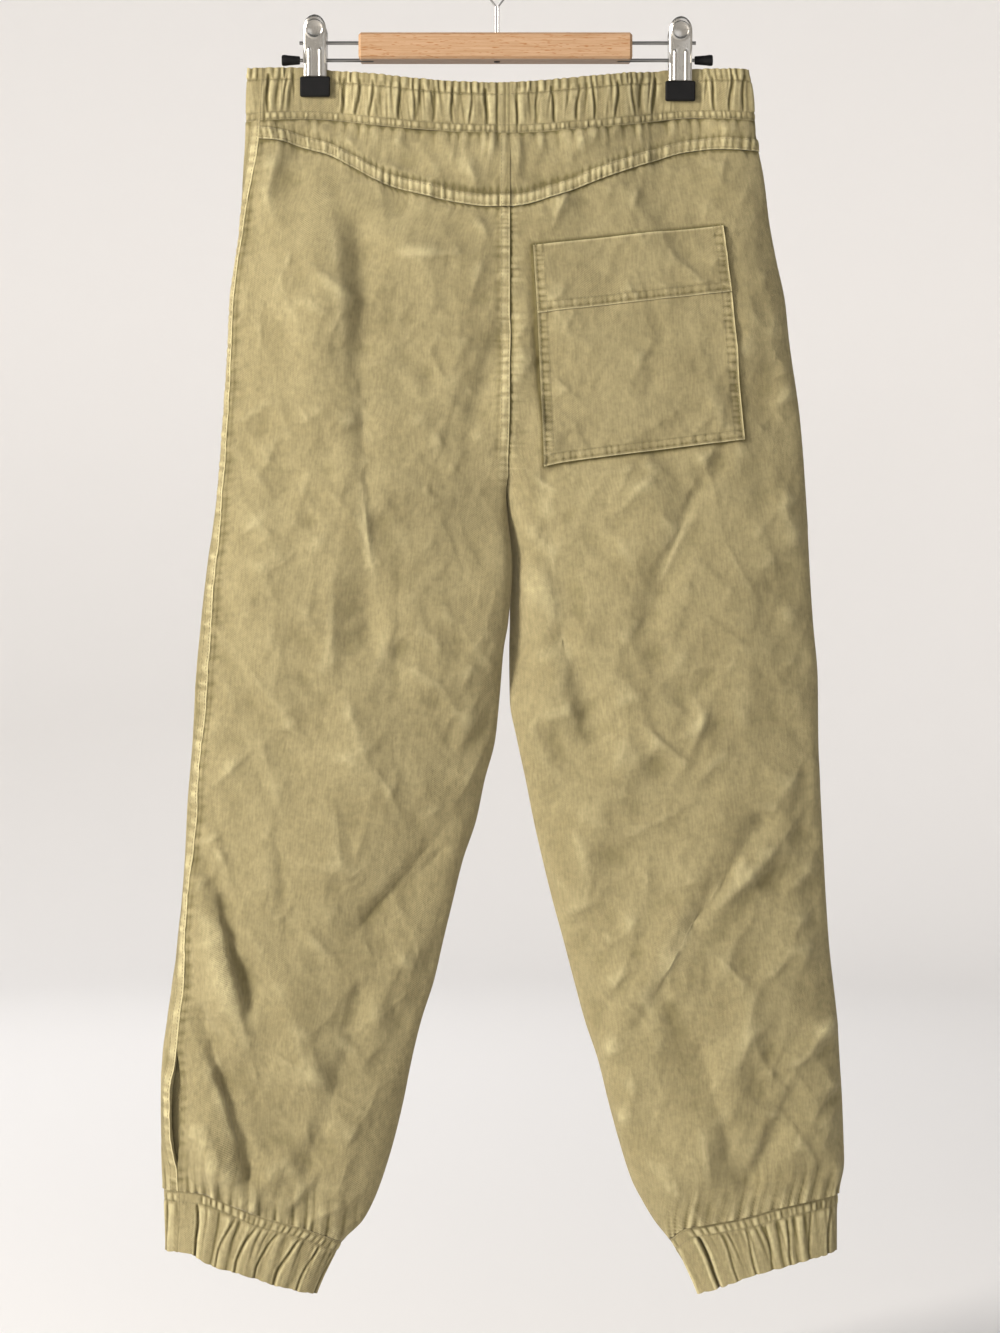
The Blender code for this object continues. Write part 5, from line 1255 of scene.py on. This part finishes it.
for word in ("left", "right"):
    back, yoke, cuffName = "back_" + word + "_cloth", "yoke_" + word + "_cloth", "cuff_" + word + "_cloth"
    paths = []
    if word == "left":
        paths += [pathAlong(back, "end", line, 0.0, 0.3) for line in centreStitches]
        paths += [pathAlong(yoke, "end", line) for line in centreStitches]
        sew("stitches_centre_back", paths[:2], 3)
        sew("stitches_side_seam", [
            pathAlong("front_left_cloth", "start", line) for line in sideStitches], 4)
    sew("stitches_yoke_" + word, paths[2:] + [
        pathAlong(yoke, "low", line) for line in yokeStitches], 6)
    sew("stitches_cuff_" + word,
                               [pathAlong(cuffName, "top", line) for line in cuffStitches], 5)
for panel in ("back", "front"):
    name = "waistband_" + panel + "_cloth"
    sew("stitches_waistband_" + panel, [
        pathAlong(name, "top", firstStitch), pathAlong(name, "top", waistBand["lowStitch"]),
        pathAlong(name, "low", waistBand["header"])], 7)
for part in ("back_pocket", "back_pocket_band"):
    sew("stitches_" + part, [
        pathAlong(part + "_cloth", edge, line) for edge in ("start", "end", "low")
        for line in (pocket["topstitch"], pocket["secondStitch"])], 9)

# The hanger's own parts keep their solids: how a node's name starts and ends, its finish and its slot.
hangerParts = [
    ("hanger_bar", "", "beech", "beech"), ("hanger_stem", "", "wire", "steel"),
    ("wire_cap", "", "rubber", "rubber"), ("clip", "_tip", "rubber", "rubber"),
    ("wire_", "", "wire", "steel"), ("clip", "_jaw", "steel", "steel"),
]
for name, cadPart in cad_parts.items():
    for start, end, finish, slot in hangerParts:
        if name.startswith(start) and name.endswith(end):
            cadPart.data.materials.clear()
            cadPart.data.materials.append(finishes[finish])
            break

# Pressed faces of the clips: clip x, top, end.
clipFaces = {"left": (-148.8, 57.5, 106.2), "right": (150.0, 59.0, 109.8)}
pressing = {"half": 9.4, "gap": 0.9, "edge": 2.6, "crown": 0.5, "dish": 6.9, "dishDrop": 11.6, "dishDepth": 2.0,
            "rib": 4.5, "ribHalf": 1.15, "ribStart": 26.0, "ribHigh": 1.0, "round": 12, "lean": (12.0, 4.6),
            "rows": 90, "columns": 49}


def pressedFace(name, word, sign):
    # The bright outer face of one jaw: rounded rims, a round dish for the thumb and two long ribs.
    centre, top, end = clipFaces[word]
    rows, columns = pressing["rows"], pressing["columns"]
    t = np.linspace(0, 1, rows)[:, None] ** 1.4
    u = np.sin(np.linspace(-1, 1, columns) * math.pi / 2)[None, :]
    drop = top + 0.02 + (end - top - 0.02) * t
    bend = pressing["round"]
    cap = np.sqrt(np.clip(1 - (np.clip(bend - (drop - top), 0, bend) / bend) ** 2, 0, 1))
    width = pressing["half"] * cap
    x, drop = width * u, np.broadcast_to(drop, (rows, columns))
    rim = np.minimum(width - np.abs(x), (drop - top) * 0.8)
    rise = 1.0 - 0.9 * np.clip(1 - rim / pressing["edge"], 0, 1) ** 2 + pressing["crown"] * (1 - u * u)
    away = np.hypot(x, drop - top - pressing["dishDrop"])
    bowl = np.clip(1 - (away / (pressing["dish"] - 0.6)) ** 2, 0, 1)
    rise = rise - pressing["dishDepth"] * 0.5 * bowl + 0.45 * bell(away - pressing["dish"], 0.7)
    for middle in (-pressing["rib"], pressing["rib"]):
        begin = np.clip((drop - top - pressing["ribStart"]) / 3, 0, 1)
        rib = np.exp(-(np.abs((x - middle) / pressing["ribHalf"]) ** 2.6))
        rise = rise + pressing["ribHigh"] * begin * rib
    out, below = pressing["lean"]
    back = out + (below - out) * (drop - top) / (end - top) + pressing["gap"]
    front = np.stack([centre + x, sign * (back + rise), -drop], axis=-1)
    rear = np.stack([centre + x, sign * back, -drop], axis=-1)
    index = np.arange(rows * columns).reshape(rows, columns)
    loop = np.concatenate([index[0, :-1], index[:-1, -1], index[-1, :0:-1], index[:0:-1, 0]])
    after = np.roll(loop, -1)
    rims = np.stack([loop, after, after + rows * columns, loop + rows * columns], axis=-1)
    mesh = bpy.data.meshes.new(name)
    spots = np.concatenate([front.reshape(-1, 3), rear.reshape(-1, 3)]) * mm
    quads = np.concatenate([quadsOf(index), quadsOf(index + rows * columns)[:, [0, 3, 2, 1]], rims])
    if sign > 0:
        quads = quads[:, ::-1]
    mesh.from_pydata(spots.tolist(), [], quads.tolist())
    mesh.validate()
    smoothUnder(mesh, 50)
    showMesh(name, mesh, "pressed")


for word in clipFaces:
    pressedFace("clip_" + word + "_front_pressing", word, -1)
    pressedFace("clip_" + word + "_back_pressing", word, 1)


# Caps on the ends of the lower wires: inner end, length, bore and the outside radii from inner to outer end.
wireCap = {"inner": {"left": -161.5, "right": 162.0}, "drop": 92.2, "length": 14.8, "bore": 1.85,
           "boreDepth": 11.4, "turns": 32,
           "outside": [(0.0, 2.9), (0.5, 3.4), (9.5, 4.1), (12.0, 4.5), (14.1, 4.4), (14.8, 3.7)]}


def makeCap(word, sign):
    # One turned cap, hollow where the wire goes in.
    profile = [(0.0, wireCap["bore"])] + wireCap["outside"] + [(wireCap["length"], 0.0)]
    profile += [(wireCap["boreDepth"], 0.0), (wireCap["boreDepth"], wireCap["bore"])]
    turns, size, spots, faces = wireCap["turns"], len(profile), [], []
    for step in range(turns):
        angle = 2 * math.pi * step / turns
        spots += [((wireCap["inner"][word] + sign * out) * mm, r * math.cos(angle) * mm,
                   (r * math.sin(angle) - wireCap["drop"]) * mm) for out, r in profile]
    for step in range(turns):
        a, b = step * size, (step + 1) % turns * size
        for j in range(size):
            k = (j + 1) % size
            face = (a + j, a + k, b + k, b + j)
            faces.append(face if sign > 0 else face[::-1])
    mesh = bpy.data.meshes.new("wire_cap_" + word + "_rubber")
    mesh.from_pydata(spots, [], faces)
    fan = bmesh.new()
    fan.from_mesh(mesh)
    bmesh.ops.remove_doubles(fan, verts=fan.verts, dist=1e-6)
    bmesh.ops.recalc_face_normals(fan, faces=fan.faces)
    fan.to_mesh(mesh)
    fan.free()
    smoothUnder(mesh, 40)
    made = showMesh(mesh.name, mesh, "rubber")
    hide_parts("wire_cap_" + word)


for word, sign in (("left", -1), ("right", 1)):
    makeCap(word, sign)


def holeShadeDisc(name, x, depth, drop, radius):
    # A black disc on the underside of the bar: painted shade for the dark mouth of a small drilled hole.
    bpy.ops.mesh.primitive_cylinder_add(vertices=24, radius=radius * mm, depth=0.3 * mm,
                                        location=(x * mm, depth * mm, -(drop + 0.05) * mm))
    plug = bpy.context.object
    plug.name = name
    plug.data.transform(plug.matrix_world)
    plug.matrix_world.identity()
    plug.data.materials.append(finishes["shade"])
    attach(plug, "root")


holeShadeDisc("bar_hole_painted_shade", x=0.0, depth=1.0, drop=93.2, radius=2.6)


studio = {"floorDrop": 1.26, "radius": 5.2, "bend": 1.6, "bendSteps": 12, "wall": 3.2, "turns": 96,
          "floorColour": "#eceae8", "airColour": "#f4f5f7", "air": 0.27}


def makeStudio():
    # A pale floor that bends up into a round wall, far outside every view.
    radius, bend = studio["radius"], studio["bend"]
    profile = [(0.0, 0.0), (radius * 0.4, 0.0), (radius - bend, 0.0)]
    for step in range(1, studio["bendSteps"] + 1):
        angle = math.pi / 2 * step / studio["bendSteps"]
        profile.append((radius - bend + bend * math.sin(angle), bend * (1 - math.cos(angle))))
    profile.append((radius, studio["wall"]))
    turns, vertices, faces = studio["turns"], [], []
    for step in range(turns):
        angle = 2 * math.pi * step / turns
        vertices += [(r * math.cos(angle), r * math.sin(angle), h - studio["floorDrop"]) for r, h in profile]
    size = len(profile)
    for i in range(turns):
        for j in range(size - 1):
            a, b = i * size + j, (i + 1) % turns * size + j
            faces.append((a, b, b + 1, a + 1) if j else (a, b + 1, a + 1))
    mesh = bpy.data.meshes.new("studio_floor")
    mesh.from_pydata(vertices, [], faces)
    mesh.validate()
    for polygon in mesh.polygons:
        polygon.use_smooth = True
    obj = bpy.data.objects.new("studio_floor", mesh)
    bpy.context.scene.collection.objects.link(obj)
    mesh.materials.append(paintedPlaster("matt_white_plaster", studio["floorColour"]))


# Lights: name, place and aim in metres, width, height, watts, colour.
garmentMiddle = (0.0, 0.0, -0.6)
lights = [
    ("key_window", (-3.65, -2.45, 0.7), garmentMiddle, 1.0, 1.4, 312, "#fffaf4"),
    ("fill_front", (1.4, -3.4, 0.6), garmentMiddle, 2.4, 2.0, 14, "#f3f6ff"),
    ("wall_wash", (0.0, 2.2, 1.4), (0.0, 5.2, -0.4), 3.0, 1.0, 9, "#fbfcff"),
    ("fill_behind", (-1.3, 3.0, 1.5), garmentMiddle, 1.6, 1.6, 42, "#fbfcff"),
]


def areaLight(name, place, aim, width, height, power, colour):
    data = bpy.data.lights.new(name, "AREA")
    data.shape, data.size, data.size_y = "RECTANGLE", width, height
    data.energy, data.color = power, linear(colour)[:3]
    obj = bpy.data.objects.new(name, data)
    bpy.context.scene.collection.objects.link(obj)
    obj.location = place
    obj.rotation_euler = (Vector(aim) - Vector(place)).to_track_quat("-Z", "Y").to_euler()
    obj.visible_camera = False


camera = {"place": (0.0025, -2.24, -0.589), "lens": 73.8}
makeStudio()
for light in lights:
    areaLight(*light)
world = bpy.data.worlds.new("soft_room")
bpy.context.scene.world = world
world.use_nodes = True
air = world.node_tree.nodes["Background"]
air.inputs["Color"].default_value = linear(studio["airColour"])
air.inputs["Strength"].default_value = studio["air"]
cameraData = bpy.data.cameras.new("camera")
cameraData.lens = camera["lens"]
cameraObject = bpy.data.objects.new("camera", cameraData)
bpy.context.scene.collection.objects.link(cameraObject)
cameraObject.location = camera["place"]
cameraObject.rotation_euler = (math.pi / 2, 0.0, 0.0)
bpy.context.scene.camera = cameraObject
bpy.context.scene.view_settings.view_transform = "Standard"
print("studio, lights and camera ready")
